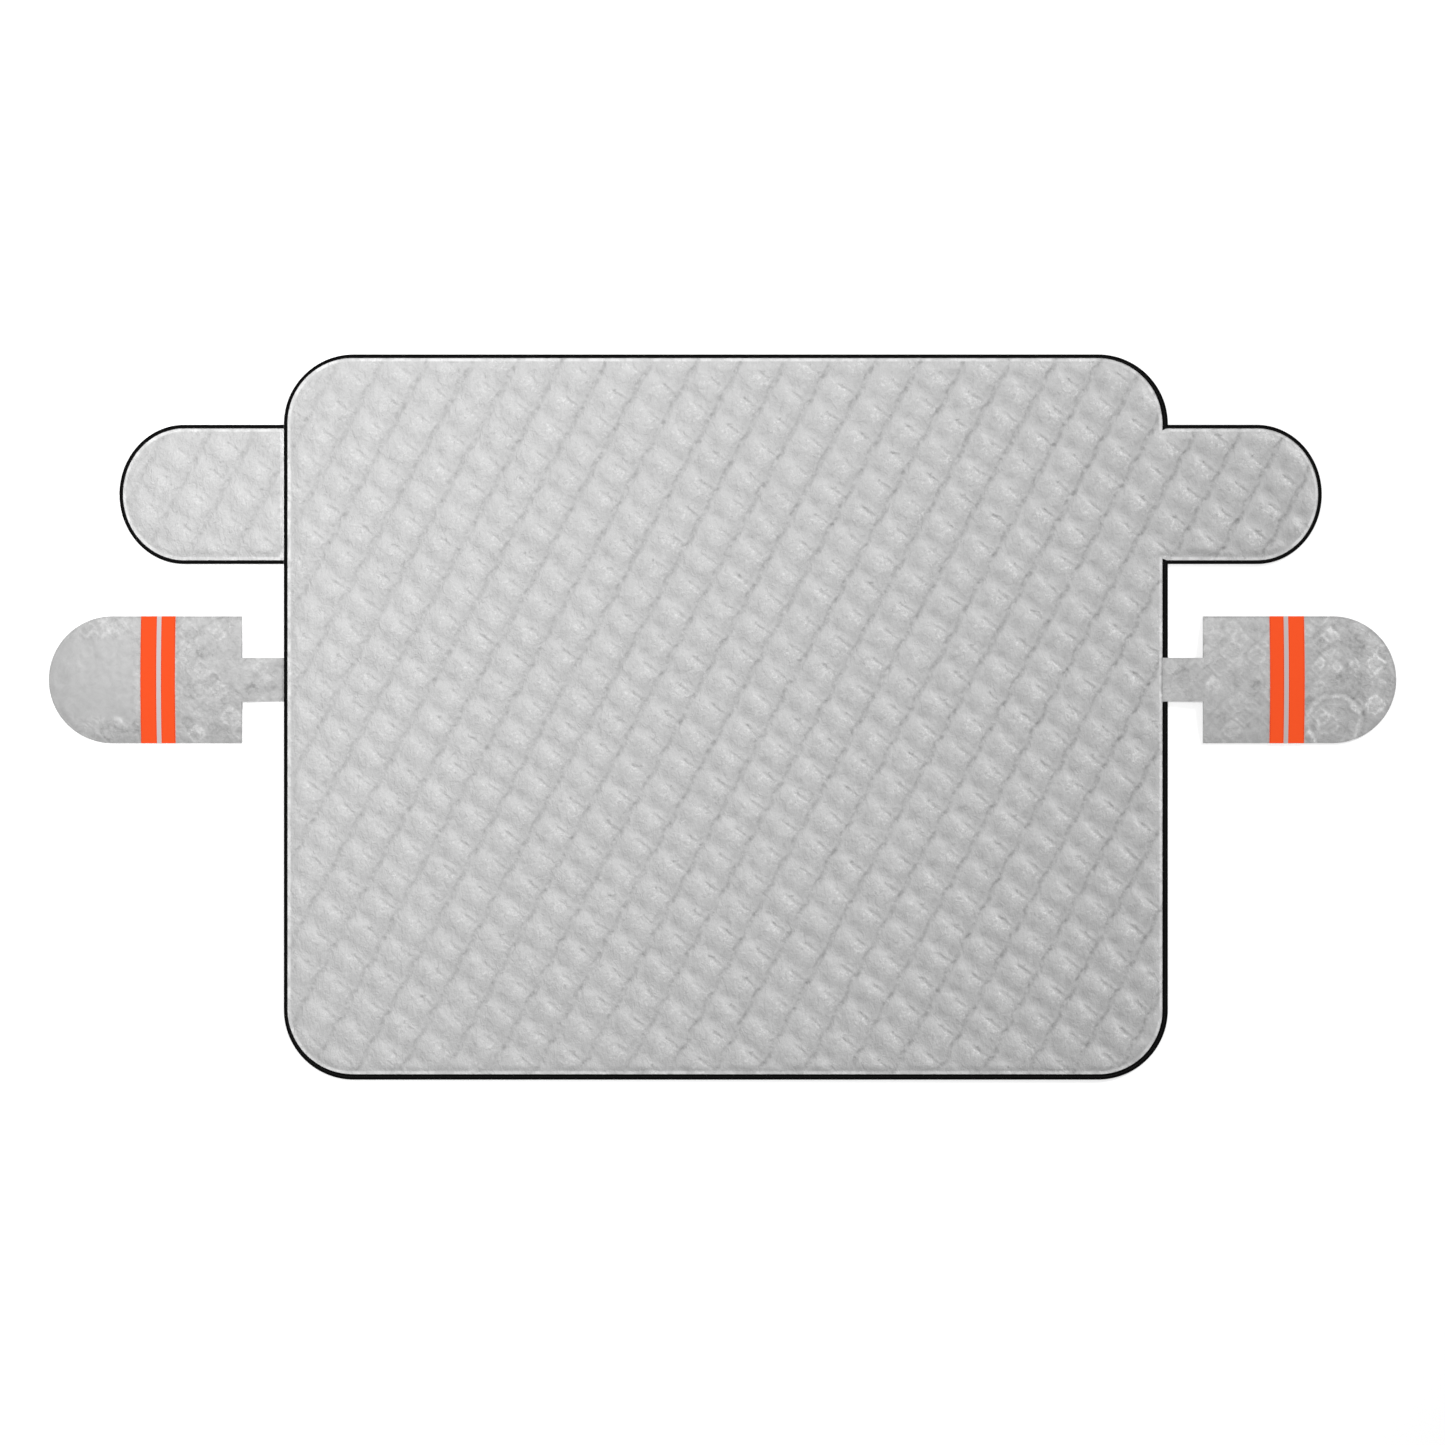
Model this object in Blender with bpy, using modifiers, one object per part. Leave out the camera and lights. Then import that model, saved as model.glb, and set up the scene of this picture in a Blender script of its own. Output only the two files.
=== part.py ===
"""Windshield frost cover, laid flat with its silver face up.

A quilted panel lies on the glass. Two door flaps hold it, and a pouch on a short strap goes over each wing
mirror. Folded black tape binds the panel and the flaps. Each pouch has two layers of film, sewn together on
every side but its straight mouth, with an orange tape across it.
Sizes are in metres and angles in degrees, +Z is up, and the origin is on the ground under the middle.
"""

import math

import bmesh
import bpy
from mathutils import Matrix, Vector

# Panel
PANEL_WIDTH = 1.470
PANEL_HEIGHT = 1.206
PANEL_CORNER_RADIUS = 0.116

# Door flaps
FLAP_WIDTH = 0.2316
FLAP_BELOW_PANEL_TOP = 0.117
FLAP_END_DEPTH = 0.108
LEFT_FLAP_REACH = 0.2735
RIGHT_FLAP_REACH = 0.256
LEFT_FLAP_ROOT_GAP = 0.0033

# Mirror pouches and their straps
POUCH_LENGTH = 0.3217
POUCH_HEIGHT = 0.2113
POUCH_CROWN = 0.007
POUCH_BELOW_PANEL_TOP = 0.541
STRAP_WIDTH = 0.0728
LEFT_STRAP_LENGTH = 0.0694
RIGHT_STRAP_LENGTH = 0.0584
RIGHT_STRAP_OVERLAP = 0.009

# Orange tape across each pouch, with its silver strip
ORANGE_TAPE_FROM_TIP = 0.1537
ORANGE_TAPE_WIDTH = 0.0574
OUTER_STRIPE_WIDTH = 0.0266
SILVER_STRIP_WIDTH = 0.0075

# Quilting: two families of parallel seams
LONG_SEAM_ANGLE = 61.54
LONG_SEAM_SPACING = 0.0655
CROSS_SEAM_ANGLE = -31.57
CROSS_SEAM_SPACING = 0.0513
SEAM_CROSSING_RIGHT_OF_CENTRE = 0.061
SEAM_CROSSING_BELOW_CENTRE = 0.031
PUFF_SHOULDER_WIDTH = 0.011

# Thicknesses and heights
FILM_THICKNESS = 0.0008
TAPE_THICKNESS = 0.0005
HEM_THICKNESS = 0.0012
SEAM_DEPTH_LEFT = 0.0005
PUFF_SHOULDER_RISE = 0.0026
PUFF_CENTRE_RISE = 0.0008
BINDING_WIDTH = 0.0065
EDGE_SLOPE_ABOVE = 0.015
EDGE_SLOPE_BELOW = 0.010
SEWN_GAP = 0.0003

# Fineness of the round parts
CORNER_STEPS = 7
FLAP_END_STEPS = 14
POUCH_END_STEPS = 18
FOLD_STEPS = 4
STRAP_STEPS = 8

# Colours of the finished cloth, linear
SILVER = (0.58, 0.58, 0.58)
DARK_SILVER = (0.50, 0.50, 0.50)
BLACK = (0.012, 0.012, 0.012)
ORANGE = (0.96, 0.10, 0.024)
PALE_SILVER = (0.65, 0.62, 0.62)

# Heights in the sewn edge: flap root or strap end, tape, hem, tape
BINDING_BOTTOM = FILM_THICKNESS + SEWN_GAP
HEM_BOTTOM = BINDING_BOTTOM + TAPE_THICKNESS + SEWN_GAP
HEM_TOP = HEM_BOTTOM + HEM_THICKNESS
BINDING_TOP = HEM_TOP + SEWN_GAP + TAPE_THICKNESS
FOLD_RADIUS = (BINDING_TOP - BINDING_BOTTOM) / 2
HEM_INSET = FOLD_RADIUS
BODY_INSET = BINDING_WIDTH + SEWN_GAP
SEAM_HEIGHT = HEM_TOP + SEAM_DEPTH_LEFT
PUFF_TOP = SEAM_HEIGHT + PUFF_SHOULDER_RISE + PUFF_CENTRE_RISE
CUTTER_MARGIN = 0.001

# Places: the panel stands off centre by half the difference between the two straps
PANEL_X = (LEFT_STRAP_LENGTH - RIGHT_STRAP_LENGTH) / 2
PANEL_LEFT = PANEL_X - PANEL_WIDTH / 2
PANEL_RIGHT = PANEL_X + PANEL_WIDTH / 2
PANEL_TOP = PANEL_HEIGHT / 2
FLAP_Y = PANEL_TOP - FLAP_BELOW_PANEL_TOP - FLAP_WIDTH / 2
POUCH_Y = PANEL_TOP - POUCH_BELOW_PANEL_TOP
POUCH_RADIUS = POUCH_HEIGHT / 2


def clear_scene():
    for scene_object in list(bpy.data.objects):
        bpy.data.objects.remove(scene_object, do_unlink=True)


def new_collection(name):
    collection = bpy.data.collections.new(name)
    bpy.context.scene.collection.children.link(collection)
    return collection


def principled(name, colour, roughness, metallic=0.0):
    material = bpy.data.materials.new(name)
    material.use_nodes = True
    shader = material.node_tree.nodes["Principled BSDF"]
    shader.inputs["Base Color"].default_value = (*colour, 1.0)
    shader.inputs["Roughness"].default_value = roughness
    shader.inputs["Metallic"].default_value = metallic
    return material


def new_object(name, bm, collection, material=None):
    """Turn a bmesh into an object, smooth across its gentle bends."""
    mesh = bpy.data.meshes.new(name)
    bm.to_mesh(mesh)
    bm.free()
    mesh.shade_smooth()
    mesh.set_sharp_from_angle(angle=math.radians(30))
    made = bpy.data.objects.new(name, mesh)
    if material:
        mesh.materials.append(material)
    collection.objects.link(made)
    return made


def new_cutter(name, bm, collection):
    cutter = new_object(name, bm, collection)
    cutter.hide_render = True
    cutter.display_type = "WIRE"
    return cutter


def add_boolean(target, cutter, operation):
    modifier = target.modifiers.new(f"{operation.lower()} {cutter.name}", "BOOLEAN")
    modifier.operation = operation
    modifier.solver = "EXACT"
    modifier.object = cutter


def arc(centre, radii, start, end, steps):
    """Points along an elliptical arc, its two ends included."""
    points = []
    for step in range(steps + 1):
        angle = math.radians(start + (end - start) * step / steps)
        points.append((centre[0] + radii[0] * math.cos(angle), centre[1] + radii[1] * math.sin(angle)))
    return points


def loft(loops, closed):
    """Skin a row of loops with equal numbers of points. A closed row joins up, an open one gets two caps."""
    bm = bmesh.new()
    rings = [[bm.verts.new(point) for point in loop] for loop in loops]
    followers = rings[1:] + rings[:1] if closed else rings[1:]
    for ring, follower in zip(rings, followers):
        for i in range(len(ring)):
            bm.faces.new((ring[i - 1], ring[i], follower[i], follower[i - 1]))
    if not closed:
        bm.faces.new(rings[0])
        bm.faces.new(rings[-1])
    bmesh.ops.recalc_face_normals(bm, faces=bm.faces)
    return bm


def panel_outline(inset):
    """Panel and right flap in one, anticlockwise from the lower left corner, moved in by inset."""
    corner = PANEL_CORNER_RADIUS
    radii = (corner - inset, corner - inset)
    left, right = PANEL_LEFT + corner, PANEL_RIGHT - corner
    bottom, top = corner - PANEL_TOP, PANEL_TOP - corner
    flap_end = (PANEL_RIGHT + RIGHT_FLAP_REACH - FLAP_END_DEPTH, FLAP_Y)
    flap_half = FLAP_WIDTH / 2 - inset
    points = arc((left, bottom), radii, 180, 270, CORNER_STEPS)
    points += arc((right, bottom), radii, 270, 360, CORNER_STEPS)
    points.append((PANEL_RIGHT - inset, FLAP_Y - flap_half))
    points += arc(flap_end, (FLAP_END_DEPTH - inset, flap_half), -90, 90, FLAP_END_STEPS)
    points.append((PANEL_RIGHT - inset, FLAP_Y + flap_half))
    points += arc((right, top), radii, 0, 90, CORNER_STEPS)
    points += arc((left, top), radii, 90, 180, CORNER_STEPS)
    return points


def left_flap_outline(inset, root):
    """Left flap from the top of its root round its free end to the bottom, moved in by inset."""
    flap_end = (PANEL_LEFT - LEFT_FLAP_REACH + FLAP_END_DEPTH, FLAP_Y)
    flap_half = FLAP_WIDTH / 2 - inset
    points = [(root, FLAP_Y + flap_half)]
    points += arc(flap_end, (FLAP_END_DEPTH - inset, flap_half), 90, 270, FLAP_END_STEPS)
    points.append((root, FLAP_Y - flap_half))
    return points


def binding_section():
    """Tape folded round a hem, as distances in from the edge and heights: out along its face, back inside."""
    middle = (BINDING_TOP + BINDING_BOTTOM) / 2
    inner_radius = FOLD_RADIUS - TAPE_THICKNESS
    outside = arc((FOLD_RADIUS, middle), (FOLD_RADIUS, FOLD_RADIUS), 270, 90, FOLD_STEPS)
    inside = arc((FOLD_RADIUS, middle), (inner_radius, inner_radius), 90, 270, FOLD_STEPS)
    return (
        [(BINDING_WIDTH, BINDING_BOTTOM)]
        + outside
        + [(BINDING_WIDTH, BINDING_TOP), (BINDING_WIDTH, BINDING_TOP - TAPE_THICKNESS)]
        + inside
        + [(BINDING_WIDTH, BINDING_BOTTOM + TAPE_THICKNESS)]
    )


def sweep_binding(outline, closed):
    """Carry the folded tape's section along an outline, given as a function of how far in it lies."""
    section = binding_section()
    tracks = [[(x, y, height) for x, y in outline(inset)] for inset, height in section]
    return loft([list(loop) for loop in zip(*tracks)], closed)


def seam_lattice():
    """Sides of one quilted cell: along the cross seams, and along the long seams."""
    along_long = Vector((math.cos(math.radians(LONG_SEAM_ANGLE)), math.sin(math.radians(LONG_SEAM_ANGLE))))
    along_cross = Vector((math.cos(math.radians(CROSS_SEAM_ANGLE)), math.sin(math.radians(CROSS_SEAM_ANGLE))))
    lean = math.sin(math.radians(LONG_SEAM_ANGLE - CROSS_SEAM_ANGLE))
    return along_cross * LONG_SEAM_SPACING / lean, along_long * CROSS_SEAM_SPACING / lean


def quilt_block():
    """Block whose top is the quilting: one puff for each cell of the seam lattice, over the whole cover."""
    side_u, side_v = seam_lattice()
    reach = math.hypot(PANEL_WIDTH / 2 + max(LEFT_FLAP_REACH, RIGHT_FLAP_REACH), PANEL_HEIGHT / 2)
    half_u = math.ceil(reach / LONG_SEAM_SPACING) + 1
    half_v = math.ceil(reach / CROSS_SEAM_SPACING) + 1
    crossing = (PANEL_X + SEAM_CROSSING_RIGHT_OF_CENTRE, -SEAM_CROSSING_BELOW_CENTRE)
    cells_to_cover = Matrix(
        (
            (side_u.x, side_v.x, 0.0, crossing[0]),
            (side_u.y, side_v.y, 0.0, crossing[1]),
            (0.0, 0.0, 1.0, SEAM_HEIGHT),
            (0.0, 0.0, 0.0, 1.0),
        )
    )
    bm = bmesh.new()
    bmesh.ops.create_grid(bm, x_segments=2 * half_u, y_segments=2 * half_v, size=1.0)
    bmesh.ops.scale(bm, vec=(half_u, half_v, 1.0), verts=bm.verts)
    bmesh.ops.transform(bm, matrix=cells_to_cover, verts=bm.verts)
    for face in bm.faces:
        if face.normal.z < 0:
            face.normal_flip()
    rim = [edge for edge in bm.edges if edge.is_boundary]
    cells = list(bm.faces)
    bmesh.ops.inset_individual(
        bm, faces=cells, thickness=PUFF_SHOULDER_WIDTH, depth=PUFF_SHOULDER_RISE, use_even_offset=True
    )
    bmesh.ops.poke(bm, faces=cells, offset=PUFF_CENTRE_RISE)
    walls = bmesh.ops.extrude_edge_only(bm, edges=rim)["geom"]
    floor_verts = [item for item in walls if isinstance(item, bmesh.types.BMVert)]
    floor_edges = [item for item in walls if isinstance(item, bmesh.types.BMEdge)]
    for vert in floor_verts:
        vert.co.z = -CUTTER_MARGIN
    floor_loop = [edge for edge in floor_edges if edge.is_boundary]
    bmesh.ops.contextual_create(bm, geom=floor_loop)
    bmesh.ops.recalc_face_normals(bm, faces=bm.faces)
    return bm


def body_levels():
    """Side of a quilted sheet as insets and heights: flat back, hem inside the tape, slope to the puffs."""
    return [
        (BODY_INSET + EDGE_SLOPE_BELOW, 0.0),
        (BODY_INSET, HEM_BOTTOM),
        (HEM_INSET, HEM_BOTTOM),
        (HEM_INSET, HEM_TOP),
        (BODY_INSET, HEM_TOP),
        (BODY_INSET + EDGE_SLOPE_ABOVE, PUFF_TOP + CUTTER_MARGIN),
    ]


def make_main_panel(collection, quilt, material):
    """Panel and right flap: a body with a thin hem, its top cut to the quilting."""
    loops = [[(x, y, height) for x, y in panel_outline(inset)] for inset, height in body_levels()]
    panel = new_object("main_panel", loft(loops, closed=False), collection, material)
    add_boolean(panel, quilt, "INTERSECT")


def make_left_flap(collection, construction, quilt, material):
    """Left flap: a quilted body, and a thin root that runs in under the panel's binding."""
    root = PANEL_LEFT - LEFT_FLAP_ROOT_GAP
    loops = []
    for inset, height in body_levels():
        outline = left_flap_outline(inset, root - (inset - HEM_INSET))
        loops.append([(x, y, height) for x, y in outline])
    flap = new_object("left_flap", loft(loops, closed=False), collection, material)
    add_boolean(flap, quilt, "INTERSECT")
    root_start = root - 2 * (BODY_INSET + EDGE_SLOPE_BELOW)
    root_length = PANEL_LEFT + BINDING_WIDTH - root_start
    bm = bmesh.new()
    bmesh.ops.create_cube(bm, size=1.0)
    bmesh.ops.translate(bm, vec=(0.5, 0, 0.5), verts=bm.verts)
    bmesh.ops.scale(bm, vec=(root_length, FLAP_WIDTH - 2 * BINDING_WIDTH, FILM_THICKNESS), verts=bm.verts)
    bmesh.ops.translate(bm, vec=(root_start, FLAP_Y, 0), verts=bm.verts)
    add_boolean(flap, new_cutter("left_flap_root", bm, construction), "UNION")


def make_bindings(collection, material):
    """Folded tape round the panel and right flap, and along the left flap's three free sides."""
    new_object("panel_binding", sweep_binding(panel_outline, closed=True), collection, material)
    tape_end = PANEL_LEFT - SEWN_GAP
    flap_tape = sweep_binding(lambda inset: left_flap_outline(inset, tape_end), closed=False)
    new_object("left_flap_binding", flap_tape, collection, material)


def pouch_stations():
    """Distances from a pouch's middle line at which its crowned layer has points: one at the strap's edge."""
    steps = 5
    half_strap = STRAP_WIDTH / 2
    spread = [half_strap + (POUCH_RADIUS - half_strap) * step / steps for step in range(1, steps + 1)]
    return [0.0, half_strap] + spread


def crown(distance):
    """Rise of a pouch's upper layer above its sewn edge, by distance from the middle line."""
    return POUCH_CROWN * (1 - (distance / POUCH_RADIUS) ** 2)


def pouch_front(side):
    """Upper layer and its strap as an open surface, which ends under the left edge or on the right one."""
    overlap, strap_end_height = BINDING_WIDTH, 0.0
    if side > 0:
        overlap, strap_end_height = RIGHT_STRAP_OVERLAP, BINDING_TOP + SEWN_GAP
    sewn_height = FILM_THICKNESS + SEWN_GAP
    straight = POUCH_LENGTH - POUCH_RADIUS
    bm = bmesh.new()
    profile = [bm.verts.new((0.0, distance, sewn_height + crown(distance))) for distance in pouch_stations()]
    edges = [bm.edges.new(pair) for pair in zip(profile, profile[1:])]
    bmesh.ops.spin(
        bm, geom=profile + edges, cent=(0, 0, 0), axis=(0, 0, 1), angle=math.pi, steps=POUCH_END_STEPS
    )
    bmesh.ops.remove_doubles(bm, verts=bm.verts, dist=SEWN_GAP / 10)
    mouth = [e for e in bm.edges if all(abs(v.co.x) < SEWN_GAP for v in e.verts)]
    mouth = extrude_edges(bm, mouth, straight)
    strap = [e for e in mouth if all(abs(v.co.y) < STRAP_WIDTH / 2 + SEWN_GAP for v in e.verts)]
    start_heights = {}
    for edge in strap:
        for vert in edge.verts:
            start_heights[round(vert.co.y, 6)] = vert.co.z
    for step in range(1, STRAP_STEPS + 1):
        strap = extrude_edges(bm, strap, strap_length(side) / STRAP_STEPS)
        share = step / STRAP_STEPS
        ease = share * share * (3 - 2 * share)
        for vert in {vert for edge in strap for vert in edge.verts}:
            start = start_heights[round(vert.co.y, 6)]
            vert.co.z = start + (strap_end_height - start) * ease
    extrude_edges(bm, strap, overlap)
    place_pouch_piece(bm, side)
    for face in bm.faces:
        if face.normal.z < 0:
            face.normal_flip()
    return bm


def extrude_edges(bm, edges, distance):
    """Extrude edges along X and return the new ones."""
    made = bmesh.ops.extrude_edge_only(bm, edges=edges)["geom"]
    verts = [item for item in made if isinstance(item, bmesh.types.BMVert)]
    made_edges = [item for item in made if isinstance(item, bmesh.types.BMEdge)]
    bmesh.ops.translate(bm, vec=(distance, 0, 0), verts=verts)
    return [edge for edge in made_edges if all(vert in verts for vert in edge.verts)]


def strap_length(side):
    return LEFT_STRAP_LENGTH if side < 0 else RIGHT_STRAP_LENGTH


def place_pouch_piece(bm, side):
    """Move a piece made at the round end's centre to its pouch: side is -1 on the left and 1 on the right."""
    panel_edge = PANEL_LEFT if side < 0 else PANEL_RIGHT
    centre_x = panel_edge + side * (strap_length(side) + POUCH_LENGTH - POUCH_RADIUS)
    for vert in bm.verts:
        vert.co.x = centre_x - side * vert.co.x
        vert.co.y += POUCH_Y
    bmesh.ops.recalc_face_normals(bm, faces=bm.faces)


def add_thickness(sheet, thickness):
    """Thicken an open surface upwards."""
    modifier = sheet.modifiers.new("thickness", "SOLIDIFY")
    modifier.thickness = thickness
    modifier.offset = 1.0
    modifier.use_even_offset = True


def pouch_back(side):
    """Lower layer: a flat slab with the pouch's outline."""
    straight = POUCH_LENGTH - POUCH_RADIUS
    outline = arc((0, 0), (POUCH_RADIUS, POUCH_RADIUS), 90, 270, POUCH_END_STEPS)
    outline += [(straight, -POUCH_RADIUS), (straight, POUCH_RADIUS)]
    bm = loft([[(x, y, z) for x, y in outline] for z in (0.0, FILM_THICKNESS)], closed=False)
    place_pouch_piece(bm, side)
    return bm


def tape_surface(side, from_tip, width, height):
    """Underside of a tape that lies across a pouch's crown, at a height above the upper layer's underside."""
    start = from_tip - POUCH_RADIUS
    sewn_height = FILM_THICKNESS + SEWN_GAP
    stations = pouch_stations()
    across = [-distance for distance in reversed(stations[1:])] + stations
    bm = bmesh.new()
    verts = [bm.verts.new((start, y, sewn_height + crown(abs(y)) + height)) for y in across]
    edges = [bm.edges.new(pair) for pair in zip(verts, verts[1:])]
    extrude_edges(bm, edges, width)
    place_pouch_piece(bm, side)
    for face in bm.faces:
        if face.normal.z < 0:
            face.normal_flip()
    return bm


def make_mirror_cover(collection, side, materials):
    """One pouch: its two layers, the strap on the upper one, and the orange tape with its silver strip."""
    name = "left" if side < 0 else "right"
    front = new_object(f"{name}_mirror_cover_front", pouch_front(side), collection, materials["film"])
    add_thickness(front, FILM_THICKNESS)
    new_object(f"{name}_mirror_cover_back", pouch_back(side), collection, materials["film"])
    tape_height = FILM_THICKNESS + SEWN_GAP
    tape = new_object(
        f"{name}_mirror_orange_tape",
        tape_surface(side, ORANGE_TAPE_FROM_TIP, ORANGE_TAPE_WIDTH, tape_height),
        collection,
        materials["orange"],
    )
    add_thickness(tape, TAPE_THICKNESS)
    strip_height = tape_height + TAPE_THICKNESS + SEWN_GAP
    strip = new_object(
        f"{name}_mirror_silver_strip",
        tape_surface(side, ORANGE_TAPE_FROM_TIP + OUTER_STRIPE_WIDTH, SILVER_STRIP_WIDTH, strip_height),
        collection,
        materials["strip"],
    )
    add_thickness(strip, TAPE_THICKNESS)


def main():
    clear_scene()
    cover = new_collection("windshield_frost_cover")
    construction = new_collection("construction")
    quilted = principled("quilted silver laminate", SILVER, 0.55, 0.1)
    black = principled("black binding tape", BLACK, 0.6)
    pouch_materials = {
        "film": principled("crinkled silver film", DARK_SILVER, 0.45, 0.1),
        "orange": principled("orange tape", ORANGE, 0.6),
        "strip": principled("pale silver strip", PALE_SILVER, 0.35, 0.2),
    }
    quilt = new_cutter("quilting", quilt_block(), construction)
    make_main_panel(cover, quilt, quilted)
    make_left_flap(cover, construction, quilt, quilted)
    make_bindings(cover, black)
    for side in (-1, 1):
        make_mirror_cover(cover, side, pouch_materials)


main()
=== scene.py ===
"""Looks of the windshield frost cover: quilted panel and flaps, black binding, crinkled mirror pouches.

Every piece is laid over its solid in the frame. Sizes are in metres.
"""

import functools
import math

import bmesh
import bpy
import numpy as np
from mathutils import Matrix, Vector, noise
from mathutils.geometry import delaunay_2d_cdt


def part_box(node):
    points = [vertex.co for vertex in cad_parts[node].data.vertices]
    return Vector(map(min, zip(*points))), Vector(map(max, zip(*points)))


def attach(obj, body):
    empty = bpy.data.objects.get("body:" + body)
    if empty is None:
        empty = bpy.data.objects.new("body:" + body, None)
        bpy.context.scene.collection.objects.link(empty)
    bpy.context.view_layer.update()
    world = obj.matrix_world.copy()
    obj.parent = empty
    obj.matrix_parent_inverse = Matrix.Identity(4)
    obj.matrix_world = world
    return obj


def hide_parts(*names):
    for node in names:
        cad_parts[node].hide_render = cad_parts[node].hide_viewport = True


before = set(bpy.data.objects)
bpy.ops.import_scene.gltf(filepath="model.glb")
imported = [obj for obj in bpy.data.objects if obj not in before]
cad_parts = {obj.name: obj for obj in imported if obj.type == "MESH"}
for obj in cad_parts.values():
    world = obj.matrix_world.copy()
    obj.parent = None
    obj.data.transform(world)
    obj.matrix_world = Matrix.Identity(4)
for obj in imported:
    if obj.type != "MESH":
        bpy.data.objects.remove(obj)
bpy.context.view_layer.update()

# Photograph
METRES_PER_PIXEL = 0.0016625
PHOTO_PIXELS = 1445
PHOTO_CENTRE = (PHOTO_PIXELS - 1) / 2
COVER_CENTRE = (722.05, 716.5)

# Sizes that the frame's boxes don't give, as in the solids
PANEL_WIDTH = 1.470
PANEL_CORNER_RADIUS = 0.116
FLAP_END_DEPTH = 0.108
LEFT_FLAP_ROOT_GAP = 0.0033
ROOT_LEAN = 0.2
ROOT_BOTTOM = 0.0002
ROOT_THICKNESS = 0.0008
STRAP_WIDTH = 0.0728
FILM_THICKNESS = 0.0008
TAPE_THICKNESS = 0.0005
HEM_THICKNESS = 0.0012
BINDING_WIDTH = 0.0065
SEWN_GAP = 0.0003
EDGE_SLOPE_BELOW = 0.010
EDGE_SLOPE_ABOVE = 0.014
PRESSED_EDGE = 0.0034

# Quilting seams, as in the solids
LONG_SEAM_ANGLE = math.radians(61.54)
LONG_SEAM_SPACING = 0.0655
CROSS_SEAM_ANGLE = math.radians(-31.57)
CROSS_SEAM_SPACING = 0.0513
SEAM_CROSSING_RIGHT_OF_CENTRE = 0.061
SEAM_CROSSING_BELOW_CENTRE = 0.031

# Quilting relief: heights in metres, and places as shares of a cell
SEAM_HEIGHT = 0.0005
PUFF_HEIGHT = 0.0023
WAVE = 0.00102
WAVE_CREST = 0.672
CREST_LEAN = -0.22
BULGE_WAVE = 0.0007
BULGE_PLACE = 0.33
BULGE_WIDTH = 0.11
RIPPLE = 0.00046
RIPPLE_CREST = 0.38
VALLEY_WIDTH = 0.15
FOLD_START = 0.474
FOLD_START_SPREAD = 0.10
FOLD_RISE = 0.09
FOLD_FADE = 0.75
FOLD_SLANT = -0.166
FOLD_RUNS = ((-0.070, 0.050, -0.00065), (0.050, 0.040, 0.00075), (0.135, 0.035, -0.0003))
STREAKS = ((0.0430, 0.0045, 0.47, 0.22), (0.0500, 0.0050, 0.84, 0.12))
STREAK_HEIGHT = 0.0003
SEAM_SWAY = 0.0285
SWAY_PLACE = 0.174
SEAM_WANDER = 0.020
PULL = 0.52
WELDS_PER_CELL = 3
WELD_SHARES = (1.25, 0.35, 0.80)
WELD_SHIFT = 0.12
WELD_DEPTH = 0.0003
WELD_WIDTH = 0.0048
DOT_PLACE = (0.555, 0.044)
LONG_STATIONS = (0.0, 0.034, 0.074, 0.14, 0.24, 0.35, 0.46, 0.57, 0.68, 0.79, 0.88, 0.95)
CROSS_STATIONS = (0.0, 0.035, 0.09, 0.16, 0.24, 0.32, 0.40, 0.48, 0.57, 0.66, 0.75, 0.84, 0.91, 0.96)
EDGE_PITCH = 0.006
FREE_EDGE = 0.0035
SHARP_ANGLE = math.radians(50)

# Sewing. The binding is wider towards the right and bottom of the panel, where its extra black tape is
# painted shade.
BINDING_INNER = 0.0062
BINDING_EXTRA = 0.0026
BINDING_PITCH = 0.004
BINDING_FOLD_STEPS = 8
GROOVE_REACH = 0.0008
STITCH_LENGTH = 0.0026
STITCH_PITCH = 0.0036
STITCH_RADIUS = 0.00028
STITCH_INSET = 0.0048
STITCH_RISE = STITCH_RADIUS * 0.3
TAPE_STITCH_INSET = 0.0013
TAPE_STITCH_END = 0.002
STRIP_STITCH_GAP = 0.0012
RIM_STITCH_INSET = 0.0022

# Film and tape of the mirror pouches
FILM_PITCH = 0.0024
BACK_FILM_PITCH = FILM_PITCH * 1.5
TAPE_PITCH = 0.003
DIAMOND_PITCH = 0.042
DIAMOND_ROWS = 6
DIAMOND_COLUMNS = 14
DIAMOND_RADIUS = 0.0135
DIAMOND_RIM = 0.0026
DIAMOND_HEIGHT = 0.0005
ROUNDNESS = 1.2  # of the puckers: 1 makes diamonds, 2 circles
FILM_WAVE = 0.0007
# Strength of the painted shading of the pouch film's puckers.
PAINTED_SHADING_STRENGTH = 0.152
# The largest puckers of each pouch, from the centre of its round end: x, y, radius, paleness
# Paleness above 0 raises a pucker, with a painted highlight on its rim and painted light inside; below 0
# sinks it, with painted shade.
LEFT_PUCKERS = (
    (-0.016, 0.086, 0.017, 1.1), (0.014, 0.088, 0.014, 1.0), (0.000, -0.084, 0.020, -1.3),
    (0.036, -0.086, 0.016, -1.2), (0.008, -0.068, 0.010, 1.0), (0.176, 0.076, 0.014, 1.3),
    (0.178, -0.017, 0.016, 1.3), (0.198, -0.062, 0.019, 1.5), (0.141, -0.090, 0.016, 1.6),
    (0.130, 0.074, 0.013, -1.1), (0.152, 0.044, 0.013, -0.9), (0.128, -0.018, 0.013, -1.0),
    (0.170, -0.080, 0.014, -1.2), (0.127, -0.070, 0.013, -1.2), (0.152, 0.010, 0.013, 0.9),
    (0.118, 0.030, 0.012, 0.9), (0.248, 0.020, 0.012, 1.3), (0.232, -0.016, 0.013, -1.7),
    (0.266, -0.014, 0.012, -1.5), (0.276, 0.022, 0.010, -1.1),
)
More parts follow.
